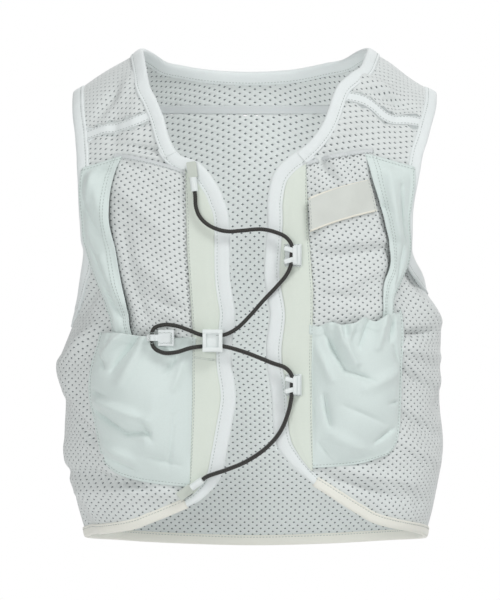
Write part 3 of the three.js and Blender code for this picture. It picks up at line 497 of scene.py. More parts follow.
opening = trace(np.vstack([
    front(*edges["openingLeft"]), crestPlace(-1, torso["neckHalf"]), back(*edges["neckBack"]),
    crestPlace(1, torso["neckHalf"]), front(*edges["openingRight"]),
]), 901)
corner = {side: nearest(opening, front(edges["neckCorners"][side])) for side in sides}
armSteps = 150


def armLoop(side):
    sign, shape = sides[side], armholes[side]
    low = flat(-1, (sign, shape["bottom"]))[0, 1]
    crest = crestPlace(sign, torso["armHalf"])
    ahead = trace(np.vstack([crest, front(*shape["front"]), [[sign, low]]]), armSteps)
    behind = trace(np.vstack([[[sign, -low]], back(*shape["back"]), crest]), armSteps)
    return np.vstack([ahead, behind[:-1]])


arms = {side: armLoop(side) for side in sides}
sideW = 1 + (edges["hemSide"] * torso["vestHeight"] + armpitZ) / downPerW
hem = np.vstack([
    trace(np.vstack([front(*edges["hemLeft"]), [[-1, -sideW]]]), 70),
    trace(np.vstack([[[-1, sideW]], back(*edges["hemBack"]), [[1, sideW]]]), 220),
    trace(np.vstack([[[1, -sideW]], front(*edges["hemRight"][::-1])]), 70),
])
bands = {side: trace(front(*bandRows[side]), 40) for side in sides}
print("edges traced")


# Materials: expressions on sockets add their own Math nodes
class Value:
    def __init__(self, finish, socket):
        self.finish, self.socket = finish, socket

    def using(self, operation, *values):
        return self.finish.node("ShaderNodeMath", {"operation": operation}, dict(enumerate(values)))

    def __add__(self, other):
        return self.using("ADD", self, other)

    def __sub__(self, other):
        return self.using("SUBTRACT", self, other)

    def __rsub__(self, other):
        return self.using("SUBTRACT", other, self)

    def __mul__(self, other):
        return self.using("MULTIPLY", self, other)

    def sine(self):
        return self.using("SINE", self)

    def absolute(self):
        return self.using("ABSOLUTE", self)

    def above(self, edge):
        return self.using("GREATER_THAN", self, edge)


class Finish:
    def __init__(self, name, roughness, sheen=0.0):
        self.material = bpy.data.materials.new(name)
        self.material.use_nodes = True
        self.tree = self.material.node_tree
        self.shader = self.tree.nodes["Principled BSDF"]
        self.shader.inputs["Roughness"].default_value = roughness
        self.shader.inputs["Sheen Weight"].default_value = sheen

    def node(self, kind, settings, values, output=0):
        made = self.tree.nodes.new(kind)
        for key, value in settings.items():
            setattr(made, key, value)
        for key, value in values.items():
            if isinstance(value, Value):
                self.tree.links.new(value.socket, made.inputs[key])
            else:
                made.inputs[key].default_value = value
        return Value(self, made.outputs[output])

    # The place on the cloth's own map, in metres
    def cloth(self):
        chart = self.node("ShaderNodeUVMap", {"uv_map": "Cloth"}, {})
        across = self.node("ShaderNodeSeparateXYZ", {}, {0: chart})
        return across, Value(self, across.socket.node.outputs[1])

    def objectPlace(self):
        return self.node("ShaderNodeTexCoord", {}, {}, "Object")

    def noise(self, where, scale, detail):
        values = {"Vector": where, "Scale": scale, "Detail": detail, "Roughness": 0.55}
        return self.node("ShaderNodeTexNoise", {}, values)

    def blend(self, share, a, b):
        return self.node("ShaderNodeMix", {"data_type": "RGBA"}, {0: share, 6: a, 7: b}, 2)

    def feed(self, name, value):
        self.tree.links.new(value.socket, self.shader.inputs[name])

    def color(self, value):
        self.feed("Base Color", value)

    def roughness(self, value):
        self.feed("Roughness", value)

    def bump(self, height, strength, distance):
        values = {"Height": height, "Strength": strength, "Distance": distance}
        self.feed("Normal", self.node("ShaderNodeBump", {}, values))


def tint(rgb, by=1.0):
    linear = [((c / 255 + 0.055) / 1.055) ** 2.4 * by for c in rgb]
    return (*[min(c, 1) for c in linear], 1)


# A woven or knitted cloth: threads across and along, cloudy mottling, and painted shade in its hollows
def wovenFinish(name, rgb, across, along, depth, strength, roughness, sheen, mottle, shade):
    f = Finish(name, roughness, sheen)
    u, v = f.cloth()
    height = (u * (fullTurn / across)).sine() * (v * (fullTurn / along)).sine() * 0.5 + 0.5
    place = f.objectPlace()
    cloudy, fibres = f.noise(place, 22, 4), f.noise(place, 900, 2)
    # Mottling and fibres are the cloth's own tone; the darker hollows of the weave are painted shade
    share = cloudy * mottle * 2 + fibres * 0.16 + (1 - height) * (1 - shade)
    f.color(f.blend(share, tint(rgb), tint(rgb, 0.62)))
    f.roughness(fibres * 0.12 + (roughness - 0.06))
    f.bump(height + fibres * 0.5, strength, depth)
    return f.material


# Columns: name, colour, thread pitch across and along (m), bump depth (m) and strength,
# roughness, sheen, mottle, and how light the painted shade in the hollows stays
wovenTable = {
    "mesh": ("perforatedMesh", (224, 229, 228), 0.00115, 0.0009, 0.0001, 0.5, 0.88, 0.3, 0.06, 0.9),
    "mint": ("mintStretch", (222, 234, 231), 0.0008, 0.0014, 0.00006, 0.35, 0.72, 0.35, 0.13, 0.93),
    "tape": ("plainTape", (222, 230, 220), 0.0009, 0.0012, 0.00006, 0.35, 0.75, 0.25, 0.05, 0.97),
    # Painted shade: the dark sheet behind the holes stands for the shade seen through the perforation
    "lining": ("closeKnit", (116, 124, 126), 0.0006, 0.0006, 0.00006, 0.3, 0.9, 0.1, 0.1, 0.9),
    "binding": ("foldedBinding", (232, 238, 238), 0.0011, 0.0011, 0.00008, 0.4, 0.8, 0.3, 0.05, 0.95),
    "cream": ("hemTape", (238, 238, 229), 0.0012, 0.0011, 0.00008, 0.4, 0.82, 0.3, 0.05, 0.95),
    "tab": ("foldedTab", (204, 211, 202), 0.0009, 0.0011, 0.0001, 0.5, 0.85, 0.2, 0.08, 0.9),
    "knit": ("closedKnitEdge", (212, 217, 218), 0.0009, 0.0009, 0.00006, 0.35, 0.85, 0.25, 0.08, 0.95),
    "padTape": ("padWeave", (232, 238, 238), 0.0011, 0.0011, 0.00008, 0.4, 0.8, 0.3, 0.05, 0.9),
}
finishes = {key: wovenFinish(*row) for key, row in wovenTable.items()}


def labelFinish():
    rowPitch, threadPitch, middle, selvageFrom = 0.0007, 0.0005, 0.0135, 0.0119
    f = Finish("wovenLabel", 0.62, 0.15)
    u, v = f.cloth()
    rows = (v * (fullTurn / rowPitch)).sine() * 0.5 + 0.5
    threads = (u * (fullTurn / threadPitch)).sine() * 0.5 + 0.5
    cloudy = f.noise(f.objectPlace(), 60, 4)
    body = f.blend(cloudy * 0.5 + rows * 0.25, tint((222, 226, 220)), tint((186, 190, 184)))
    selvage = (v - middle).absolute().above(selvageFrom)
    f.color(f.blend(selvage, body, tint((232, 230, 218))))
    f.bump(rows * 0.7 + threads * 0.3 + selvage * 1.4, 0.6, 0.0001)
    return f.material


def plasticFinish():
    f = Finish("paleMouldedPlastic", 0.42)
    place = f.objectPlace()
    cloudy = f.noise(place, 300, 3)
    f.color(f.blend(cloudy * 0.4, tint((228, 234, 233)), tint((208, 216, 215))))
    f.roughness(cloudy * 0.2 + 0.28)
    f.bump(f.noise(place, 1800, 2), 0.15, 0.00004)
    return f.material


def cordFinish():
    strands, pitch = 3, 0.0036
    f = Finish("braidedCord", 0.7, 0.2)
    u, v = f.cloth()
    turn, along = u * fullTurn, v * (fullTurn / pitch)
    braid = ((turn * strands + along).sine() * (turn * strands - along).sine()) * 0.5 + 0.5
    fibres = f.noise(f.objectPlace(), 1500, 2)
    # The braid is darker in its hollows and lighter on its raised strands: painted shade
    f.color(f.blend(braid * 0.7 + fibres * 0.3, tint((16, 16, 15)), tint((58, 57, 53))))
    f.bump(braid + fibres * 0.3, 0.8, 0.00025)
    return f.material


def threadFinish():
    f = Finish("greyThread", 0.6, 0.3)
    fibres = f.noise(f.objectPlace(), 1400, 2)
    f.color(f.blend(fibres * 0.5, tint((172, 182, 178)), tint((172, 182, 178), 0.8)))
    f.bump(fibres, 0.4, 0.00005)
    return f.material


def floorFinish():
    f = Finish("paleFloor", 0.9)
    cloudy = f.noise(f.objectPlace(), 3, 2)
    f.color(f.blend(cloudy * 0.3, tint((250, 250, 250)), tint((246, 246, 246))))
    return f.material


finishes |= {
    "label": labelFinish(), "plastic": plasticFinish(), "cord": cordFinish(),
    "thread": threadFinish(), "floor": floorFinish(),
}
print("finishes made")


# Mesh making
def layMap(mesh, name, places):
    layer = mesh.uv_layers.get(name) or mesh.uv_layers.new(name=name)
    order = np.empty(len(mesh.loops), np.int32)
    mesh.loops.foreach_get("vertex_index", order)
    layer.data.foreach_set("uv", places[order].ravel())


def linked(name, mesh):
    piece = bpy.data.objects.new(name, mesh)
    bpy.context.collection.objects.link(piece)
    return piece


def makePiece(name, points, faces, uv, finish, smoothShade=True):
    mesh = bpy.data.meshes.new(name)
    mesh.from_pydata((np.asarray(points) * mm).tolist(), [], faces)
    if uv is not None:
        layMap(mesh, "Cloth", np.asarray(uv) * mm)
    mesh.materials.append(finishes[finish])
    if smoothShade:
        mesh.shade_smooth()
    return linked(name, mesh)


# Settles a piece: it rides on the vest and stands for its CAD nodes
def settle(piece, finish, *replaced):
    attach(piece, "root")
    if replaced:
        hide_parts(*replaced)
    return piece


# Turns a closed piece's faces outwards
def faceOut(piece):
    mesh = piece.data
    mesh.calc_loop_triangles()
    corners = np.array([t.vertices for t in mesh.loop_triangles])
    co = np.array([v.co for v in mesh.vertices])
    p, q, r = co[corners[:, 0]], co[corners[:, 1]], co[corners[:, 2]]
    if (p * np.cross(q, r)).sum() < 0:
        mesh.flip_normals()


# A closed slab between two grids of points; uv in mm over the cloth
def slab(name, top, bottom, uv, finish):
    rows, cols = top.shape[:2]
    points = np.vstack([top.reshape(-1, 3), bottom.reshape(-1, 3)])
    count = rows * cols
    grid = np.arange(count).reshape(rows, cols)
    a, b, c, d = grid[:-1, :-1], grid[:-1, 1:], grid[1:, 1:], grid[1:, :-1]
    upper = np.stack([a, b, c, d], -1).reshape(-1, 4)
    lower = np.stack([a, d, c, b], -1).reshape(-1, 4) + count
    rim = np.concatenate([grid[0, :-1], grid[:-1, -1], grid[-1, :0:-1], grid[:0:-1, 0]])
    following = np.roll(rim, -1)
    wall = np.stack([rim, rim + count, following + count, following], -1)
    faces = np.vstack([upper, lower, wall]).tolist()
    return makePiece(name, points, faces, np.vstack([uv.reshape(-1, 2)] * 2), finish)


puckers = {"turns": (0.17, 0.31, 0.53), "shift": 1.7, "above": 1, "edge": 0.05}


# A closed strip folded round an edge of the cloth, from a profile of (share of width, height)
def strip(name, line, width, profile, finish, ring, pucker, seed):
    insetLine = inset(line, width, ring)
    marks = lengths(line)
    wobble = np.zeros(len(line))
    for k, turns in enumerate(puckers["turns"]):
        wobble += pucker * np.sin(marks * turns * 2 + seed + k * puckers["shift"]) / (1 + k)
    rings, uvs, travelled = [], [], 0
    for share, high in profile:
        place = mix(line, insetLine, share)
        inner = math.sin(math.pi * min(max(share, puckers["edge"]), 1))
        raised = high + wobble * (inner if high > puckers["above"] else 0)
        points = clothPoint(place[:, 0], place[:, 1], raised)
        if rings:
            travelled += float(np.median(np.linalg.norm(points - rings[-1], axis=1)))
        rings.append(points)
        uvs.append(np.stack([np.full(len(line), travelled), marks], -1))
    grid, uv = np.stack(rings, 1), np.stack(uvs, 1)
    n, m = grid.shape[:2]
    index = np.arange(n * m).reshape(n, m)
    around = np.roll(index, -1, axis=1)
    if ring:
        a, b, c, d = index, around, np.roll(around, -1, axis=0), np.roll(index, -1, axis=0)
    else:
        a, b, c, d = index[:-1], around[:-1], around[1:], index[1:]
    faces = np.stack([a, d, c, b], -1).reshape(-1, 4).tolist()
    if not ring:
        faces += [index[0].tolist(), index[-1][::-1].tolist()]
    piece = makePiece(name, grid.reshape(-1, 3), faces, uv.reshape(-1, 2), finish)
    faceOut(piece)
    return piece


def runModifiers(piece):
    graph = bpy.context.evaluated_depsgraph_get()
    mesh = bpy.data.meshes.new_from_object(piece.evaluated_get(graph))
    piece.modifiers.clear()
    piece.data = mesh


# A Geometry Nodes group: its inputs, its nodes, their settings and its links
def nodeGroup(name, inputs, kinds, settings, links):
    tree = bpy.data.node_groups.new(name, "GeometryNodeTree")
    made = [
        tree.interface.new_socket(name=label, in_out="INPUT", socket_type="NodeSocket" + kind)
        for label, kind in {"Geometry": "Geometry", **inputs}.items()
    ]
    tree.interface.new_socket(name="Geometry", in_out="OUTPUT", socket_type="NodeSocketGeometry")
    group = {key: tree.nodes.new("GeometryNode" + kind) for key, kind in kinds.items()}
    group["start"] = tree.nodes.new("NodeGroupInput")
    group["end"] = tree.nodes.new("NodeGroupOutput")
    for key, label, value in settings:
        if label in group[key].inputs:
            group[key].inputs[label].default_value = value
        else:
            setattr(group[key], label, value)
    for link in links:
        (source, output), (target, entry) = [end.split(".") for end in link.split(" > ")]
        tree.links.new(group[source].outputs[output], group[target].inputs[entry])
    return [tree, *[socket.identifier for socket in made[1:]]]


# Perforated cloth: diamond cells over a flat chart, each with a hole, then laid on the torso
perforation = {"pitchAcross": 7.0, "pitchDown": 5.0, "holeShare": 0.3, "wall": 0.5}
# How deep inside the cloth the painted shade sheet behind the holes lies, and how thick it is
shadeSheetBehind = {"depth": 0.62, "thick": 0.12}
perforate, holeInput, clothInput = nodeGroup(
    "perforateCells", {"Hole share": "Float", "Cloth": "Material"},
    {
        "extrude": "ExtrudeMesh", "scale": "ScaleElements", "delete": "DeleteGeometry",
        "realize": "RealizeInstances", "paint": "SetMaterial",
    },
    [
        ("extrude", "mode", "FACES"), ("extrude", "Offset Scale", 0), ("extrude", "Individual", True),
        ("scale", "domain", "FACE"), ("delete", "domain", "FACE"),
    ],
    [
        "start.Geometry > extrude.Mesh", "extrude.Mesh > scale.Geometry",
        "extrude.Top > scale.Selection", "start.Hole share > scale.Scale",
        "scale.Geometry > delete.Geometry", "extrude.Top > delete.Selection",
        "delete.Geometry > realize.Geometry", "realize.Geometry > paint.Geometry",
        "start.Cloth > paint.Material", "paint.Geometry > end.Geometry",
    ],
)


def insidePolygon(points, polygon):
    inside = np.zeros(len(points), bool)
    x, y = points[:, 0], points[:, 1]
    for (ax, ay), (bx, by) in zip(polygon, np.roll(polygon, -1, axis=0)):
        if ay == by:
            continue
        cut = (ay > y) != (by > y)
        inside ^= cut & (x < (bx - ax) * (y - ay) / (by - ay) + ax)
    return inside


# Faces of two layers of n points each, joined along the edges that only one face has
def closedFaces(quads, n):
    pairs = np.stack([quads, np.roll(quads, -1, axis=1)], -1).reshape(-1, 2)
    found = np.unique(np.sort(pairs, axis=1), axis=0, return_index=True, return_counts=True)
    _, first, times = found
    rim = pairs[first[times == 1]]
    wall = np.stack([rim[:, 1], rim[:, 0], rim[:, 0] + n, rim[:, 1] + n], -1)
    return np.vstack([quads, quads[:, ::-1] + n, wall]).tolist()


# A closed cloth from two layers over one chart, its outside turned outwards
def layered(name, layers, quads, chart, finish, lane, w):
    faces = closedFaces(quads, len(chart))
    piece = makePiece(name, np.vstack(layers), faces, np.vstack([chart, chart]), finish)
    outward = directions(lane[:1], w[:1])[2][0]
    if np.dot(np.array(piece.data.polygons[0].normal), outward) < 0:
        piece.data.flip_normals()
    return piece


# The painted shade behind the holes: a thin dark layer inside the perforated cloth, standing for the
# shade seen through them
def addShadeSheet(name, corners, quads, toPlace, heights):
    cells = corners[quads]
    middle = cells.mean(axis=1, keepdims=True)
    holes = middle + perforation["holeShare"] * (cells - middle)
    chart = np.vstack([corners, holes.reshape(-1, 2)])
    inner = np.arange(len(quads) * 4).reshape(-1, 4) + len(corners)
    sideways = [quads, np.roll(quads, -1, axis=1), np.roll(inner, -1, axis=1), inner]
    tiles = np.vstack([np.stack(sideways, -1).reshape(-1, 4), inner])
    lane, w = toPlace(chart)
    depth = heights(lane, w, chart) - perforation["wall"] * shadeSheetBehind["depth"]
    layers = [clothPoint(lane, w, depth), clothPoint(lane, w, depth - shadeSheetBehind["thick"])]
    return layered(name + "Lining", layers, tiles, chart, "lining", lane, w)


shadeSheets, clothPieces = {}, {}


# toPlace turns chart points (mm) into lane and w; the outline is a polygon in the chart
def perforatedCloth(name, node, outline, toPlace, heights, keep=None):
    halfX, halfY = perforation["pitchAcross"] / 2, perforation["pitchDown"] / 2
    low, high = outline.min(axis=0), outline.max(axis=0)
    i0, i1 = int(low[0] // halfX) - 1, int(high[0] // halfX) + 2
    j0, j1 = int(low[1] // halfY) - 1, int(high[1] // halfY) + 2
    ii, jj = np.meshgrid(np.arange(i0, i1), np.arange(j0, j1), indexing="ij")
    spots = np.stack([ii * halfX, jj * halfY], -1)
    around = lambda a: [a[:-2, 1:-1], a[1:-1, :-2], a[2:, 1:-1], a[1:-1, 2:]]
    whole = ((ii + jj) % 2 == 0)[1:-1, 1:-1]
    whole &= np.all(around(insidePolygon(spots.reshape(-1, 2), outline).reshape(ii.shape)), axis=0)
    if keep is not None:
        whole &= keep(spots[1:-1, 1:-1, 0])
    quads = np.stack(around(np.arange(ii.size).reshape(ii.shape)), -1)[whole]
    used, packed = np.unique(quads, return_inverse=True)
    corners, packed = spots.reshape(-1, 2)[used], packed.reshape(-1, 4)
    flatPoints = np.column_stack([corners, np.zeros(len(used))])
    cells = makePiece(name, flatPoints, packed.tolist(), None, "mesh", False)
    holes = cells.modifiers.new("perforate", "NODES")
    holes.node_group = perforate
    holes[holeInput] = perforation["holeShare"]
    holes[clothInput] = finishes["mesh"]
    runModifiers(cells)
    chart = np.array([v.co for v in cells.data.vertices])[:, :2] / mm
    quads = np.array([p.vertices for p in cells.data.polygons])
    bpy.data.objects.remove(cells)
    lane, w = toPlace(chart)
    top = heights(lane, w, chart)
    layers = [clothPoint(lane, w, top), clothPoint(lane, w, top - perforation["wall"])]
    shadeSheets[name] = addShadeSheet(name, corners, packed, toPlace, heights)
    piece = layered(name, layers, quads, chart, "mesh", lane, w)
    bakeMap(piece.data, chart)
    clothPieces[name] = settle(piece, "mesh", node)
    settle(shadeSheets[name], "mesh", node)
    print(name, len(piece.data.polygons))


# A map of its own for baking, named OFBake: the outside in one half of the picture, the inside in the
# other
def bakeMap(mesh, chart):
    low, high = chart.min(axis=0), chart.max(axis=0)
    scaled = (chart - low) / (high - low) * [0.49, 0.98] + [0.005, 0.01]
    layMap(mesh, "OFBake", np.vstack([scaled, scaled + [0.5, 0]]))


# The chart of the body: a round coordinate, 0 to 4 from the front's middle leftwards, and the depth
# below the crest. It is measured on a plainer torso, so that 1 mm of it is about 1 mm of cloth.
plain = {"halfWidth": 142, "halfDepth": 90, "overCrest": 200, "overDepth": 1.15, "yokeShare": 0.85}


def arcTable(speed, end, count=2000):
    t = np.linspace(0, end, count)
    s = np.concatenate([[0], np.cumsum((speed(t[1:]) + speed(t[:-1])) / 2 * np.diff(t))])
    return t, s


def roundSpeed(turn):
    a, square = turn * quarter, torso["sideSquare"]
    slope = -np.sin(a) * (1 + square * np.sin(a) ** 2) + 2 * square * np.cos(a) ** 2 * np.sin(a)
    return quarter * np.hypot(plain["halfWidth"] * np.cos(a), plain["halfDepth"] * slope)


def downSpeed(a):
    turn = np.clip(a, 0, 1) * quarter
    out = plain["halfDepth"] * np.cos(turn) * plain["overDepth"]
    down = plain["overCrest"] * np.sin(turn)
    return np.where(a >= 1, downPerW, quarter * np.hypot(down, out))


roundTable = arcTable(roundSpeed, 4)
downTable = arcTable(downSpeed, 2.2)


def toBodyChart(line):
    lane, w = line[:, 0], line[:, 1]
    turn = np.where(w > 0, 2 + lane, np.where(lane > 0, 4 - lane, -lane))
    return np.stack([np.interp(turn, *roundTable), np.interp(np.abs(w), *downTable)], -1)


def fromBodyChart(chart):
    turn = np.interp(chart[:, 0], roundTable[1], roundTable[0])
    a = np.interp(chart[:, 1], downTable[1], downTable[0])
    lane = np.where(turn < 1, -turn, np.where(turn < 3, turn - 2, 4 - turn))
    return lane, np.where((turn < 1) | (turn >= 3), -a, a)


laneScale = torso["halfSpread"] * quarter * plain["yokeShare"]


def toYokeChart(line):
    down = np.interp(np.abs(line[:, 1]), *downTable)
    return np.stack([line[:, 0] * laneScale, np.sign(line[:, 1]) * down], -1)


def fromYokeChart(chart):
    a = np.interp(np.abs(chart[:, 1]), downTable[1], downTable[0])
    return chart[:, 0] / laneScale, np.sign(chart[:, 1]) * a


setback = 0.7
seamOverlap = 3.5
panelEdge = inset(opening, setback)
hemPanel = inset(hem, -setback)
yokeDown = 0.117
halfway = len(opening) // 2


# Where one side's edges meet, for the body and for the yoke that laps over it
def sideOutlines(side):
    sign = sides[side]
    neck = panelEdge[:halfway] if side == "left" else panelEdge[halfway:][::-1]
    loop = inset(arms[side], -sign * setback, True)
    ahead, behind = loop[:armSteps], np.vstack([loop[armSteps:], loop[:1]])
    found = {"neck": neck, "ahead": ahead, "behind": behind}
    for part, shift in {"body": -seamOverlap, "yoke": seamOverlap}.items():
        row = inset(bands[side], -sign * shift)
        armAt, rowArm = crossing(ahead, row)
        neckAt, rowNeck = crossing(neck, row)
        down = yokeDown + shift / torso["vestHeight"]
        seam = back(*[(sign * share, down) for share in np.linspace(1.1, 0, 60)])
        behindAt, seamAt = crossing(behind, seam)
        found[part] = {
            "row": stretch(row, rowArm, rowNeck), "arm": armAt, "neck": neckAt,
            "behind": behindAt, "seam": stretch(seam, seamAt, len(seam) - 1),
        }
    return found


outlines = {side: sideOutlines(side) for side in sides}


def bodyOutline():
    left, right = outlines["left"], outlines["right"]
    parts = [
        hemPanel,
        stretch(right["neck"], 0, right["body"]["neck"]),
        right["body"]["row"][::-1],
        stretch(right["ahead"], right["body"]["arm"], armSteps - 1),
        stretch(right["behind"], 0, right["body"]["behind"]),
        right["body"]["seam"],
        left["body"]["seam"][::-1],
        stretch(left["behind"], left["body"]["behind"], 0),
        stretch(left["ahead"], armSteps - 1, left["body"]["arm"]),
        left["body"]["row"],
        stretch(left["neck"], left["body"]["neck"], 0),
    ]
    return toBodyChart(np.vstack(parts))


def yokeOutline():
    left, right = outlines["left"], outlines["right"]
    lastLeft, lastRight = len(left["behind"]) - 1, len(right["behind"]) - 1
    parts = [
        left["yoke"]["row"],
        stretch(left["neck"], left["yoke"]["neck"], len(left["neck"]) - 1),
        stretch(right["neck"], len(right["neck"]) - 1, right["yoke"]["neck"]),
        right["yoke"]["row"][::-1],
        stretch(right["ahead"], right["yoke"]["arm"], 0),
        stretch(right["behind"], lastRight, right["yoke"]["behind"]),
        right["yoke"]["seam"],
        left["yoke"]["seam"][::-1],
        stretch(left["behind"], left["yoke"]["behind"], lastLeft),
        stretch(left["ahead"], 0, left["yoke"]["arm"]),
    ]
    return toYokeChart(np.vstack(parts))


meshWall, yokeLift = 1.2, 0.15
sideMarks = [float(np.interp(turn, *roundTable)) for turn in (1, 3)]
bodyShape = bodyOutline()


def bodyHeight(lane, w, chart):
    return meshWall + pressed("body", lane, w)


def yokeHeight(lane, w, chart):
    return meshWall + yokeLift + pressed("body", lane, w)


bodyParts = {
    "frontClothLeft": ("front_panel_left", lambda x: x < sideMarks[0]),
    "frontClothRight": ("front_panel_right", lambda x: x > sideMarks[1]),
    "backCloth": ("back_panel", lambda x: (x >= sideMarks[0]) & (x <= sideMarks[1])),
}
for name, (node, keep) in bodyParts.items():
    perforatedCloth(name, node, bodyShape, fromBodyChart, bodyHeight, keep)
perforatedCloth("shoulderYoke", "back_panel", yokeOutline(), fromYokeChart, yokeHeight)
print("perforated cloth made")


# Bindings: a folded strip that wraps the edge of the cloth, sunk along its line of stitches
foldProfile = [
    (1.0, 0.9), (1.0, 1.9), (0.93, 2.4), (0.84, 2.5), (0.77, 2.15), (0.7, 2.5), (0.5, 2.9), (0.25, 3.0),
    (0.08, 2.8), (-0.03, 2.2), (-0.06, 1.2), (-0.04, 0.2), (0.06, -0.6), (0.25, -0.9), (0.5, -0.9),
    (0.78, -0.6), (0.95, -0.4), (1.0, 0.2),
]
stitchShare = 0.77
bindings = {
    "neck": {"width": 10.4, "pucker": 0.16},
    "front": {"width": 12, "end": 6.4, "narrowing": 0.2, "pucker": 0.1},
    "arm": {"width": 9.6, "pucker": 0.16},
    "hem": {"width": 8, "pucker": 0.1},
}
# Binding laid over another one stands a little further out
lappedProfile = [(share, high + 0.35 if high > 0.5 else high - 0.35) for share, high in foldProfile]
stitchLines = {}


def frontWidth(t):
    front = bindings["front"]
    return mix(front["end"], front["width"], smooth(t / front["narrowing"]))


# A line carried on past its ends, so that one binding laps over the next
def lapped(line, extra):
    before = line[0] - np.arange(extra, 0, -1)[:, None] * (line[1] - line[0])
    after = line[-1] + np.arange(1, extra + 1)[:, None] * (line[-1] - line[-2])
    return np.vstack([before, line, after])


neckLine = lapped(opening[corner["left"]: corner["right"] + 1], 5)
frontLines = {
    "left": lapped(opening[: corner["left"] + 1], 2), "right": lapped(opening[corner["right"]:], 2),
}
frontWidths = {
    "left": frontWidth(np.linspace(0, 1, len(frontLines["left"]))),
    "right": frontWidth(1 - np.linspace(0, 1, len(frontLines["right"]))),
}


# Makes one binding with its lines of stitches, at the heights given
def bind(kind, side, node, line, width, stitchHeights, seed, finish="binding"):
    ring, profile = kind == "arm", foldProfile if side else lappedProfile
    name = kind + "BindingFolded" + side
    piece = strip(name, line, width, profile, finish, ring, bindings[kind]["pucker"], seed)
    settle(piece, finish, node)
    place = mix(line, inset(line, width, ring), stitchShare)
    stitchLines[kind + side] = [
        clothPoint(place[:, 0], place[:, 1], np.full(len(line), high)) for high in stitchHeights
    ]


bothFaces, outerFace = (2.6, -1.05), (2.25,)
bind("neck", "", "neck_binding", neckLine, bindings["neck"]["width"], bothFaces, 1)
bind("hem", "", "hem_binding", hem, -bindings["hem"]["width"], bothFaces, 2, "cream")
for side, sign in sides.items():
    tail = "_" + side
    armWidth = -sign * bindings["arm"]["width"]
    bind("arm", tail, "armhole_binding" + tail, arms[side], armWidth, outerFace, 3)
    bind("front", tail, "front_binding" + tail, frontLines[side], frontWidths[side], outerFace, 4)
print("bindings made")


def steps(count, margin=0.0):
    return np.linspace(margin, 1 - margin, count)


# A sheet over a patch: a closed slab from low to high, with its uv in mm
def sheet(name, node, area, counts, low, high, finish, vs=None):
    us, vs = steps(counts[0]), steps(counts[1]) if vs is None else vs
    u, v = np.meshgrid(us, vs)
    lane, w = area(u, v)
    top = clothPoint(lane, w, high(u, v))
    bottom = clothPoint(lane, w, low(u, v))
    wide = np.linalg.norm(np.diff(top, axis=1), axis=-1)
    tall = np.linalg.norm(np.diff(top, axis=0), axis=-1)
    uu = np.concatenate([np.zeros((len(vs), 1)), np.cumsum(wide, axis=1)], axis=1)
    vv = np.concatenate([np.zeros((1, len(us))), np.cumsum(tall, axis=0)], axis=0)
    piece = slab(name, top, bottom, np.stack([uu, vv], -1), finish)
    faceOut(piece)
    return settle(piece, finish, node)


def level(high):
    return lambda u, v: np.full(u.shape, float(high))


# A line of stitches over a patch, lift mm above its height
def areaLine(area, us, vs, high, lift):
    u, v = together(us, vs)
    lane, w = area(u, v)
    return clothPoint(lane, w, high(u, v) + lift)


# Shoulder bands and front tapes
bandShape = {
    "width": 8, "low": 1.0, "high": 1.75, "crown": 0.2, "stitches": (0.14, 0.86), "under": 1,
}
tapeShape = {
    "low": 1.6, "high": 3.3, "ripple": 0.1, "ripples": 40, "sink": 0.5, "sinkFrom": 0.6,
    "sinkOver": 0.4, "under": 0.6, "stitches": 0.07,
}
tapeLines, tapeAreas = {}, {}


def bandHeight(area, base, crown):
    return lambda u, v: base + crown * np.sin(math.pi * u) + pressed("body", *area(u, v))


def tapeHeight(u, v):
    ripple = tapeShape["ripple"] * np.sin(v * tapeShape["ripples"]) * (1 - v)
    sunk = tapeShape["sink"] * rise(u, tapeShape["sinkFrom"], tapeShape["sinkOver"])
    return tapeShape["high"] + ripple - sunk


def addBand(side, sign):
    rows = [inset(bands[side], way * sign * bandShape["width"] / 2) for way in (-1, 1)]
    arm = inset(arms[side], -sign * (bindings["arm"]["width"] - bandShape["under"]), True)[:armSteps]
    neck = inset(opening, bindings["neck"]["width"] - bandShape["under"])
    area = patch(*[stretch(row, crossing(row, arm)[0], crossing(row, neck)[0]) for row in rows])
    low = bandHeight(area, bandShape["low"], 0)
    high = bandHeight(area, bandShape["high"], bandShape["crown"])
    sheet("shoulderBandSewn_" + side, "shoulder_band_" + side, area, (9, 70), low, high, "binding")
    stitchLines["band_" + side] = [
        areaLine(area, share, steps(60), high, 0.1) for share in bandShape["stitches"]
    ]


# A tape from a straight outer edge to under the binding
def addTape(side, sign):
    corners = np.array(tapeEdges[side])
    straight = readOff(np.linspace(0, len(corners) - 1, 25), range(len(corners)), corners)
    line = trace(front(*straight), 160)
    inner = inset(frontLines[side], frontWidths[side] - tapeShape["under"])
    inner = inner if side == "left" else inner[::-1]
    area = patch(line, stretch(inner, nearest(inner, line[0]), nearest(inner, line[-1])))
    tapeLines[side], tapeAreas[side] = line, area
    low = level(tapeShape["low"])
    sheet("frontTapeSewn_" + side, "front_tape_" + side, area, (17, 160), low, tapeHeight, "tape")
    stitchLines["tape_" + side] = [
        areaLine(area, tapeShape["stitches"], steps(140, 0.01), tapeHeight, 0.1),
    ]


for side, sign in sides.items():
    addBand(side, sign)
    addTape(side, sign)
print("bands and tapes made")


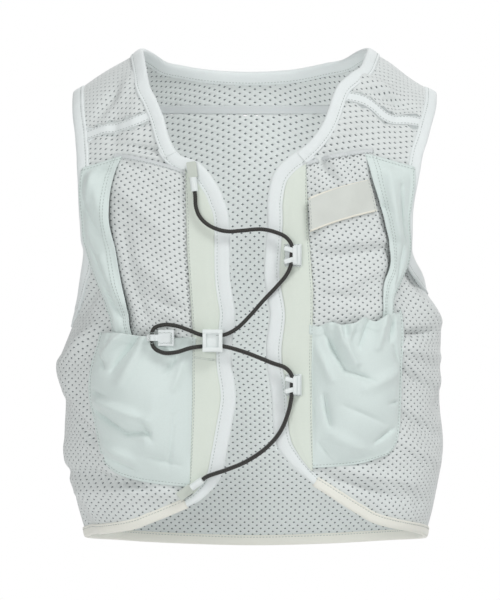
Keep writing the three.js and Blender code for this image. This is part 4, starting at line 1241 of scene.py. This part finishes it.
# Pockets: cloth sewn down round its rim, standing off the panel
pocketShapes = {
    "flask_left": {
        "outer": [(-0.785, 0.815), (-0.825, 0.75), (-0.855, 0.69), (-0.855, 0.63), (-0.8, 0.562)],
        "base": [(-0.71, 0.84), (-0.56, 0.856)], "bottom": 0.866, "top": 0.571,
    },
    "flask_right": {
        "outer": [(0.69, 0.802), (0.74, 0.77), (0.758, 0.7), (0.762, 0.6), (0.75, 0.518)],
        "base": [(0.522, 0.821)], "bottom": 0.828, "top": 0.545,
    },
    "chest_left": {
        "outer": [
            (-0.64, 0.576), (-0.68, 0.5), (-0.725, 0.435), (-0.775, 0.37), (-0.79, 0.303),
            (-0.77, 0.255), (-0.73, 0.21),
        ],
        "bottom": 0.6, "top": 0.242,
    },
    "chest_right": {
        "outer": [
            (0.665, 0.56), (0.7, 0.445), (0.712, 0.388), (0.69, 0.345), (0.64, 0.27), (0.61, 0.2),
        ],
        "bottom": 0.575, "top": 0.215,
    },
    "strap_left": {
        "inner": [
            (-0.6, 0.6), (-0.64, 0.54), (-0.684, 0.445), (-0.735, 0.36), (-0.747, 0.303),
            (-0.728, 0.258), (-0.69, 0.215),
        ],
        "outer": [
            (-0.72, 0.6), (-0.745, 0.54), (-0.82, 0.465), (-0.872, 0.411), (-0.9, 0.33),
            (-0.898, 0.238),
        ],
    },
    "strap_right": {
        "inner": [
            (0.64, 0.575), (0.65, 0.52), (0.664, 0.439), (0.678, 0.388), (0.664, 0.345),
            (0.605, 0.265), (0.57, 0.21),
        ],
        "outer": [
            (0.7, 0.57), (0.712, 0.51), (0.755, 0.455), (0.8, 0.405), (0.805, 0.33), (0.825, 0.236),
        ],
    },
}
pocketSizes = {
    "first": 1.9, "strapBase": 2.7, "chestBase": 2.4, "cloth": 1.2, "thick": 0.9, "rim": 3,
    "flaskRoom": 14, "strapRoom": 6.2, "chestRoom": 4.2, "mouth": 0.55, "neck": 0.55, "full": 0.4,
    "strapRamp": 0.35, "mouthDrop": 0.5, "tucked": 2.5,
}
# The flask pockets' mouths dip between their gathers, and their cloth is drawn in below
scallops = {
    "flask_left": {"depth": 0.02, "turns": 9, "start": 2.0, "drawn": 0.5},
    "flask_right": {"depth": 0.042, "turns": 21, "start": 0.4, "drawn": 1.2},
}
gathers = {"from": 0.78, "over": 0.2, "turns": 44, "sway": 3, "swayTurns": 9}
# Where each kind of mouth is turned over, and how much that raises it
mouthHems = {
    "flask": {"from": 0.93, "over": 0.01, "high": 0.5},
    "strap": {"from": 0.78, "over": 0.02, "high": 0.45},
}
chestMouth = {"share": 0.4, "from": 0.8, "over": 0.2}


def rampUp(t, length):
    return np.sin(quarter * np.clip(t / length, 0, 1))


# The side under the front tape, from the pocket's foot to its top
def tapeSide(side, shape):
    line = inset(tapeLines[side], sides[side] * pocketSizes["tucked"])
    depths = [flat(-1, (sides[side] * 0.3, shape[key]))[0, 1] for key in ("bottom", "top")]
    order = np.argsort(line[:, 1])
    marks = [float(np.interp(depth, line[order, 1], order.astype(float))) for depth in depths]
    return stretch(line, *marks)


# The size of a patch and the shares of it that its sewn rim takes
def rimShares(area):
    at = lambda u, v: torsoPoint(*[np.asarray(x) for x in area(np.array(u), np.array(v))])
    wide = np.linalg.norm(at(0.0, 0.5) - at(1.0, 0.5))
    tall = np.linalg.norm(at(0.5, 0.0) - at(0.5, 1.0))
    return pocketSizes["rim"] / wide, pocketSizes["rim"] / tall


def scalloped(area, name):
    mouth = scallops[name]

    def made(u, v):
        u, v = together(u, v)
        turn, start = u * mouth["turns"], mouth["start"]
        wave = 0.5 + 0.35 * np.sin(turn + start) + 0.15 * np.sin(turn * 1.7 + start)
        across = np.sin(math.pi * np.clip(u, 0, 1)) ** 0.4
        return area(u, v - mouth["depth"] * wave * smooth((v - 0.6) / 0.4) * across)

    return made


pocketAreas = {}
for name, shape in pocketShapes.items():
    kind, side = name.split("_")
    left = trace(front(*shape["outer"]), 90)
    if kind == "strap":
        area = patch(left, trace(front(*shape["inner"]), 90))
    else:
        right = tapeSide(side, shape)
        bottom = None
        if "base" in shape:
            bottom = trace(np.vstack([left[:1], front(*shape["base"]), right[:1]]), 60)
        area = patch(left, right, bottom)
    pocketAreas[name] = scalloped(area, name) if name in scallops else area


# A pocket's height: its cloth over its base, standing off by its room, with its own folds
def pocketHeight(name, bodyAt, base, room, foldShare, extra=None):
    area = pocketAreas[name]
    rimU, rimV = rimShares(area)

    def high(u, v):
        u, v = together(u, v)
        body = bodyAt(u, v, rimU, rimV)
        folded = pressed(name, *area(u, v)) * np.clip(body * foldShare, 0, 1)
        return base + room * body + folded + (extra(u, v, body, rimV) if extra else 0)

    return high


def flaskBody(u, v, rimU, rimV):
    s = pocketSizes
    across = np.sin(math.pi * np.clip((u - rimU) / (1 - 2 * rimU), 0, 1)) ** 0.7
    return across * rampUp(v - rimV, s["full"]) * mix(1, s["mouth"], rise(v, s["neck"], 1 - s["neck"]))


def strapEnds(v, rimV):
    return rampUp(v - rimV, 8 * rimV) * rampUp(1 - rimV - v, 4 * rimV)


def strapBody(u, v, rimU, rimV):
    dropped = 1 - pocketSizes["mouthDrop"] * rise(u, 0.55, 0.4)
    return rampUp(u - rimU, pocketSizes["strapRamp"]) * strapEnds(v, rimV) * dropped


def chestBody(u, v, rimU, rimV):
    body = rampUp(u - rimU, 4 * rimU) * rampUp(1 - 2 * rimU - u, 5 * rimU) * rampUp(v - rimV, 4 * rimV)
    return body * mix(1, chestMouth["share"], rise(v, chestMouth["from"], chestMouth["over"]))


def mouthHem(kind, t):
    hemStep = mouthHems[kind]
    return hemStep["high"] * rise(t, hemStep["from"], hemStep["over"])


def flaskHeight(name):
    def mouth(u, v, body, rimV):
        drawn = rise(v, gathers["from"], gathers["over"]) * scallops[name]["drawn"]
        gathered = np.sin(u * gathers["turns"] + gathers["sway"] * np.sin(u * gathers["swayTurns"]))
        return drawn * gathered * np.clip(body * 3, 0, 1) + mouthHem("flask", v)

    base = pocketSizes["first"] + pocketSizes["cloth"]
    return pocketHeight(name, flaskBody, base, pocketSizes["flaskRoom"], 2.5, mouth)


def strapHeight(name):
    def mouth(u, v, body, rimV):
        return mouthHem("strap", u) * strapEnds(v, rimV)

    base = pocketSizes["strapBase"] + pocketSizes["cloth"]
    return pocketHeight(name, strapBody, base, pocketSizes["strapRoom"], 3, mouth)


# The mint pockets: their sewn edges, how far those are sewn down, and their seams as (u, v), where
# None is the way that the seam runs
mintPockets = {
    "flask": {
        "height": flaskHeight, "across": 97, "foot": pocketSizes["first"] - 0.5,
        "sewn": lambda u, v: (u <= 0) | (u >= 1) | (v <= 0),
        "seams": [(0.025, None), (None, 0.02), (0.975, None)],
    },
    "strap": {
        "height": strapHeight, "across": 49, "foot": pocketSizes["first"],
        "sewn": lambda u, v: (u <= 0) | (v <= 0) | (v >= 1),
        "seams": [(0.79, None), (0.86, None), (0.04, None), (None, 0.985)],
    },
}


def mintPocket(kind, side):
    made, name = mintPockets[kind], kind + "_" + side
    area, high = pocketAreas[name], made["height"](name)
    low = lambda u, v: np.where(made["sewn"](u, v), made["foot"], high(u, v) - pocketSizes["thick"])
    node = kind + "_pocket_" + side
    sheet(kind + "PocketCloth_" + side, node, area, (made["across"], 121), low, high, "mint")
    t = steps(160, 0.01)
    stitchLines[name] = [
        areaLine(area, *[t if share is None else share for share in seam], high, 0.05)
        for seam in made["seams"]
    ]


# Chest pockets: perforated cloth that runs on under the tape and under the strap pocket's edge
def chestPocket(side):
    name, node, lip = "chest_" + side, "chest_pocket_" + side, 3.4
    area = pocketAreas[name]
    wide, tall = [pocketSizes["rim"] / share for share in rimShares(area)]
    high = pocketHeight(name, chestBody, pocketSizes["chestBase"], pocketSizes["chestRoom"], 2.5)
    place = lambda chart: (np.clip(chart[:, 0] / wide, 0, 1), np.clip(chart[:, 1] / tall, 0, 1))
    square = np.array([[0, 0], [wide, 0], [wide, tall], [0, tall]], float)
    perforatedCloth(
        "chestPocketCloth_" + side, node, square,
        lambda chart: area(*place(chart)), lambda lane, w, chart: high(*place(chart)),
    )
    low, top = lambda u, v: high(u, v) - 1.0, lambda u, v: high(u, v) + 0.25
    vs = 1 - steps(7) * lip / tall
    sheet("chestPocketSeam_" + side, node, area, (90, 7), low, top, "knit", vs)
    stitchLines[name] = [areaLine(area, steps(120), 1 - lip * 0.8 / tall, high, 0.3)]


for side in sides:
    for kind in mintPockets:
        mintPocket(kind, side)
for side in sides:
    chestPocket(side)
print("pockets made")


# The seam between the yoke and the back: knit covers on both sides and the painted shade sheet carried
# on across
seamLine = np.vstack([outlines["right"]["body"]["seam"], outlines["left"]["body"]["seam"][::-1]])
for name, half, low, high, finish in (
    ("yokeSeamOutside", 3.5, 0.75, 1.55, "knit"),
    ("yokeSeamInside", 3.5, 0.42, 0.68, "knit"),
    ("seamLining", 4, 0.95, 1.05, "lining"),
):
    area = patch(inset(seamLine, half), inset(seamLine, -half))
    sheet(name, "back_panel", area, (7, 160), level(low), level(high), finish)
    if name == "yokeSeamOutside":
        stitchLines["seam"] = [
            areaLine(area, share, steps(160), level(high), 0.1) for share in (0.2, 0.8)
        ]


# The bare woven label
labelShape = {
    "corners": [(0.28, 0.365), (0.622, 0.322), (0.583, 0.262), (0.272, 0.298)],
    "high": 8.4, "ripple": 0.25, "thick": 0.7,
}
labelSide = lambda a, b: trace(front(labelShape["corners"][a], labelShape["corners"][b]), 20)
labelArea = patch(labelSide(0, 3), labelSide(1, 2))


def labelHeight(u, v):
    return labelShape["high"] + labelShape["ripple"] * np.sin(u * 5 + 1) * np.sin(v * 3)


labelLow = lambda u, v: labelHeight(u, v) - labelShape["thick"]
sheet("chestLabelWoven", "chest_label", labelArea, (60, 30), labelLow, labelHeight, "label")
stitchLines["label"] = [
    areaLine(labelArea, share, steps(60, 0.02), labelHeight, 0.05) for share in (0.025, 0.975)
]

# Stitches: small threads laid along lines by Geometry Nodes; sizes in mm
stitchSizes = {"pitch": 2.6, "length": 1.9, "thick": 0.5}
tackSizes = {"pitch": 1.0, "length": 0.85, "thick": 0.6}
stitches, pitchInput, stitchInput, threadInput = nodeGroup(
    "sewnStitches", {"Stitch pitch": "Float", "Stitch size": "Vector", "Thread": "Material"},
    {
        "curve": "MeshToCurve", "points": "CurveToPoints", "ball": "MeshUVSphere",
        "place": "InstanceOnPoints", "realize": "RealizeInstances", "paint": "SetMaterial",
    },
    [
        ("points", "mode", "LENGTH"), ("ball", "Segments", 6), ("ball", "Rings", 4),
        ("ball", "Radius", 0.5),
    ],
    [
        "start.Geometry > curve.Mesh", "curve.Curve > points.Curve",
        "start.Stitch pitch > points.Length", "points.Points > place.Points",
        "points.Rotation > place.Rotation", "ball.Mesh > place.Instance",
        "start.Stitch size > place.Scale", "place.Instances > realize.Geometry",
        "realize.Geometry > paint.Geometry", "start.Thread > paint.Material",
        "paint.Geometry > end.Geometry",
    ],
)


def sew(name, runs, sizes=stitchSizes):
    points, pairs = [], []
    for run in runs:
        pairs += [(len(points) + k, len(points) + k + 1) for k in range(len(run) - 1)]
        points += run.tolist()
    mesh = bpy.data.meshes.new(name)
    mesh.from_pydata((np.array(points) * mm).tolist(), pairs, [])
    piece = linked(name, mesh)
    row = piece.modifiers.new("sew", "NODES")
    row.node_group = stitches
    row[pitchInput] = sizes["pitch"] * mm
    row[stitchInput] = (sizes["thick"] * mm, sizes["thick"] * mm, sizes["length"] * mm)
    row[threadInput] = finishes["thread"]
    runModifiers(piece)
    piece.data.shade_smooth()
    return settle(piece, "thread")


for name, runs in stitchLines.items():
    sew("stitches_" + name, runs)
# Bartacks: two close rows of short threads across the left tape, above and below the slider
tackRows = [share + shift for share in (0.464, 0.412) for shift in (0, 0.004)]
tacks = [areaLine(tapeAreas["left"], steps(30, 0.06), row, level(3.1), 0) for row in tackRows]
sew("bartacksLeftTape", tacks, tackSizes)
print("stitches sewn")


# The lacing: an elastic cord from sleeve to sleeve, with its hooks, slider, tab and anchors
cordSizes = {"diameter": 3.5, "sides": 12, "braid": 0.12, "braidPitch": 3.6, "step": 0.9}
cordPoints = [
    (-47.1, -94.3, -113.6), (-46.8, -94.9, -117), (-46.3, -94.9, -125), (-43.5, -95.2, -132.5),
    (-38, -96, -138.4), (-30, -97, -142.6), (-21, -97.7, -144.5), (-9.5, -98, -143.8),
    (5, -98.6, -142.8), (15.5, -99.3, -145), (24, -99.5, -149), (28.6, -99.6, -155.5),
    (28.3, -99.8, -163), (27.8, -100, -171), (24, -99.9, -179), (16.7, -99.2, -187.6),
    (7, -99, -197.8), (-3.8, -99, -210), (-14, -99, -220), (-24.3, -99, -225.2),
    (-33.3, -98.4, -225.3), (-42.3, -97.7, -225.1), (-51.5, -98.2, -221.6), (-61, -98.9, -218.3),
    (-71, -98.8, -217.3), (-78.6, -98.2, -219.8), (-80.8, -98.2, -224.8), (-80.9, -98.3, -230),
    (-78.6, -98.7, -235.6), (-71, -100.4, -239.3), (-61, -101, -238.6), (-51.3, -99.2, -235.7),
    (-42.3, -97.7, -234.3), (-33.3, -98.3, -234.1), (-24.3, -99, -234.3), (-10.3, -99, -238),
    (2.4, -99, -242.7), (13.5, -99.2, -247.2), (24, -99.4, -251.2), (28.6, -99.3, -257.2),
    (28.6, -99.1, -264.5), (28.5, -98.9, -272.2), (25.9, -98.2, -285.5), (19.4, -97.4, -301),
    (8, -96.8, -314), (-8, -96.2, -324.6), (-23, -95.2, -330.8), (-37.6, -94.6, -335.9),
    (-40.85, -94, -338.2),
]


# A smooth line through the cord's points (centripetal), at even steps
def smoothPath(points, step):
    places = np.array(points, float)
    p = np.vstack([2 * places[0] - places[1], places, 2 * places[-1] - places[-2]])
    dense = []
    for i in range(len(places) - 1):
        p0, p1, p2, p3 = p[i: i + 4]
        d = [max(np.linalg.norm(b - a), 1e-6) ** 0.5 for a, b in ((p0, p1), (p1, p2), (p2, p3))]
        m1 = (p1 - p0) / d[0] - (p2 - p0) / (d[0] + d[1]) + (p2 - p1) / d[1]
        m2 = (p2 - p1) / d[1] - (p3 - p1) / (d[1] + d[2]) + (p3 - p2) / d[2]
        m1, m2 = m1 * d[1], m2 * d[1]
        t = np.linspace(0, 1, 24, endpoint=False)[:, None]
        bend, twist = 3 * (p2 - p1) - 2 * m1 - m2, 2 * (p1 - p2) + m1 + m2
        dense.append(p1 + m1 * t + bend * t**2 + twist * t**3)
    dense = np.vstack([*dense, places[-1:]])
    marks = pathMarks(dense)
    goal = np.linspace(0, marks[-1], int(marks[-1] / step) + 1)
    return readOff(goal, marks, dense), goal


def braidedCord():
    path, marks = smoothPath(cordPoints, cordSizes["step"])
    tangent = unit(np.gradient(path, axis=0))
    side = unit(np.cross(tangent, [0.0, 1.0, 0.0]))
    for i in range(1, len(side)):
        side[i] = unit(side[i - 1] - tangent[i] * np.dot(side[i - 1], tangent[i]))
    up = np.cross(tangent, side)
    n, m = len(path), cordSizes["sides"]
    angle = np.arange(m + 1) / m * fullTurn
    phase = marks[:, None] * fullTurn / cordSizes["braidPitch"]
    relief = cordSizes["braid"] * np.sin(angle[None] * 3 + phase) * np.sin(angle[None] * 3 - phase)
    radius = cordSizes["diameter"] / 2 - cordSizes["braid"] + relief
    across, outwards = np.cos(angle)[None, :, None], np.sin(angle)[None, :, None]
    rings = path[:, None] + radius[..., None] * (across * side[:, None] + outwards * up[:, None])
    points = rings[:, :m].reshape(-1, 3)
    index = np.arange(n * m).reshape(n, m)
    around = np.roll(index, -1, axis=1)
    faces = np.stack([index[:-1], around[:-1], around[1:], index[1:]], -1).reshape(-1, 4).tolist()
    faces += [index[0][::-1].tolist(), index[-1].tolist()]
    piece = makePiece("braidedElasticCord", points, faces, None, "cord")
    layer = piece.data.uv_layers.new(name="Cloth")
    uv = []
    for polygon in piece.data.polygons:
        ids = list(polygon.vertices)
        wrapped = any(k % m == m - 1 for k in ids) and any(k % m == 0 for k in ids)
        for k in ids:
            share = (k % m) / m
            uv += [1.0 if wrapped and k % m == 0 else share, marks[k // m] * mm]
    layer.data.foreach_set("uv", uv)
    faceOut(piece)
    return piece, path, marks[-1]


cordPiece, cordPath, cordLength = braidedCord()
settle(cordPiece, "cord", "elastic_cord")
print("cord length", round(float(cordLength), 1))
cordPath = cordPath * mm
[tuple(p) for p in cordPath[::6]] + [tuple(cordPath[-1])]


# The frame's own small parts keep their shape and take a finish
def dressNode(name, finish):
    mesh = nodes[name].data
    layMap(mesh, "Cloth", np.array([v.co for v in mesh.vertices])[:, [0, 2]])
    mesh.materials.clear()
    mesh.materials.append(finishes[finish])


for part, finish in {"anchor": "tab", "sleeve": "plastic"}.items():
    for end in ("top", "bottom"):
        dressNode("cord_" + part + "_" + end, finish)


# Small moulded and sewn parts, built over the box of the frame's own node, as shares of that box
def boxOf(name):
    low, high = (np.array(c, float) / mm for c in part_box(name))
    return low, high - low


# The corners of each face of a block, in the order in which they are made
boxFaces = ((0, 1, 3, 2), (4, 6, 7, 5), (0, 4, 5, 1), (2, 3, 7, 6), (0, 2, 6, 4), (1, 5, 7, 3))


# Rounded blocks, each (middle, size, turn about y)
def moulded(name, node, blocks, finish, bevel, segments=3):
    low, size = boxOf(node)
    points, faces = [], []
    for at, share, turn in blocks:
        centre, half = np.array(at) * size + low, np.array(share) * size / 2
        faces += [[len(points) + k for k in quad] for quad in boxFaces]
        c, s = math.cos(turn), math.sin(turn)
        for way in itertools.product((-1, 1), repeat=3):
            x, y, z = way * half
            points.append(centre + (x * c - z * s, y, x * s + z * c))
    piece = makePiece(name, points, faces, np.array(points)[:, [0, 2]], finish)
    rounding = piece.modifiers.new("edge", "BEVEL")
    rounding.width, rounding.segments = bevel * mm, segments
    runModifiers(piece)
    return settle(piece, finish, node)


# A zigzag of stitches round a small part's front face
def zigzag(node, inside, turns=9, off=0.12, swing=0.07):
    low, size = boxOf(node)
    a, b = low[[0, 2]] + inside, low[[0, 2]] + size[[0, 2]] - inside
    corners = np.array([a, (b[0], a[1]), b, (a[0], b[1]), a])
    rim = readOff(np.linspace(0, 4, turns * 4 + 1), range(5), corners)
    middle = (a + b) / 2
    rim = middle + (rim - middle) * (1 + swing * np.where(np.arange(len(rim)) % 2, 1, -1))[:, None]
    return np.stack([rim[:, 0], np.full(len(rim), low[1] - off), rim[:, 1]], -1)


padStitches = {"pitch": 1.1, "length": 1.2, "thick": 0.45}
hookBlocks = [
    ((0.72, 0.68, 0.5), (0.5, 0.5, 0.98), 0),
    ((0.3, 0.36, 0.78), (0.66, 0.34, 0.24), -0.28),
    ((0.3, 0.36, 0.24), (0.66, 0.34, 0.24), 0.28),
    ((0.62, 0.4, 0.5), (0.26, 0.5, 0.9), 0),
]
ringBlocks = [
    ((0.5, 0.6, 0.5), (0.96, 0.66, 0.96), 0),
    ((0.5, 0.16, 0.9), (1.0, 0.3, 0.2), 0), ((0.5, 0.16, 0.1), (1.0, 0.3, 0.2), 0),
    ((0.11, 0.17, 0.5), (0.2, 0.28, 0.98), 0), ((0.89, 0.17, 0.5), (0.2, 0.28, 0.98), 0),
]
for place in ("upper", "lower"):
    pad = "hook_pad_" + place
    moulded("laceHookForked_" + place, "lace_hook_" + place, hookBlocks, "plastic", 0.55)
    moulded("hookPadSewn_" + place, pad, [((0.56, 0.5, 0.5), (0.84, 0.8, 0.9), 0)], "padTape", 0.3, 2)
    sew("hookPadStitches_" + place, [zigzag(pad, 1.7)], padStitches)
moulded("cordSliderRing", "cord_slider", ringBlocks, "plastic", 0.7)
dressNode("pull_tab", "padTape")
sew("pullTabStitches", [zigzag("pull_tab", 2.2)], {**padStitches, "thick": 0.5})
print("hardware dressed")


# Reads each cloth's chart, in metres; nothing more is done with it
def declareSheet(piece):
    uv = np.empty(len(piece.data.loops) * 2)
    piece.data.uv_layers["Cloth"].data.foreach_get("uv", uv)


objects = bpy.data.objects
fronts = {"left": "frontClothLeft", "right": "frontClothRight"}
for name in bodyParts:
    declareSheet(shadeSheets[name])
declareSheet(shadeSheets["shoulderYoke"])
for side, cloth in fronts.items():
    flaskHeld = "gathered" if side == "right" else "hung"
    declareSheet(objects["flaskPocketCloth_" + side])
    declareSheet(objects["strapPocketCloth_" + side])
    chest = "chestPocketCloth_" + side
    declareSheet(shadeSheets[chest])
declareSheet(objects["chestLabelWoven"])

# Studio: a surround that is white to the camera and dimmer as a light, soft lamps and a pale floor
surround = {"seen": 1.0, "light": 0.46}
lamps = {
    "keyLamp": {"place": (1.3, -1.3, 1.8), "size": 0.7, "power": 27},
    "frontLamp": {"place": (-1.0, -3.2, 0.2), "size": 1.4, "power": 31},
    "insideLamp": {"place": (0, -0.045, -0.21), "size": 0.17, "power": 0.12, "aim": (0, 1, -0.21)},
    "backLamp": {"place": (0.6, 2.4, 1.2), "size": 1.6, "power": 26},
}
floorHalf, floorHeight = 1600, -900


def addSurround(scene):
    scene.world = bpy.data.worlds.new("paleStudio")
    scene.world.use_nodes = True
    tree = scene.world.node_tree
    light, seen = tree.nodes["Background"], tree.nodes.new("ShaderNodeBackground")
    for background, key in ((light, "light"), (seen, "seen")):
        background.inputs["Color"].default_value = (1, 1, 1, 1)
        background.inputs["Strength"].default_value = surround[key]
    path, pick = tree.nodes.new("ShaderNodeLightPath"), tree.nodes.new("ShaderNodeMixShader")
    tree.links.new(path.outputs["Is Camera Ray"], pick.inputs["Fac"])
    tree.links.new(light.outputs["Background"], pick.inputs[1])
    tree.links.new(seen.outputs["Background"], pick.inputs[2])
    tree.links.new(pick.outputs["Shader"], tree.nodes["World Output"].inputs["Surface"])


def addLamp(name, lamp):
    data = bpy.data.lights.new(name, "AREA")
    data.size, data.energy = lamp["size"], lamp["power"]
    made = linked(name, data)
    made.location = lamp["place"]
    aim = Vector(lamp.get("aim", (0, 0, -0.2))) - Vector(lamp["place"])
    made.rotation_euler = aim.to_track_quat("-Z", "Y").to_euler()


bpy.context.scene.view_settings.view_transform = "Standard"
addSurround(bpy.context.scene)
for name, lamp in lamps.items():
    addLamp(name, lamp)
ways = ((-1, -1), (1, -1), (1, 1), (-1, 1))
floorCorners = [(x * floorHalf, y * floorHalf, floorHeight) for x, y in ways]
makePiece("studioFloor", floorCorners, [[0, 1, 2, 3]], None, "floor", False)

print("scene ready")
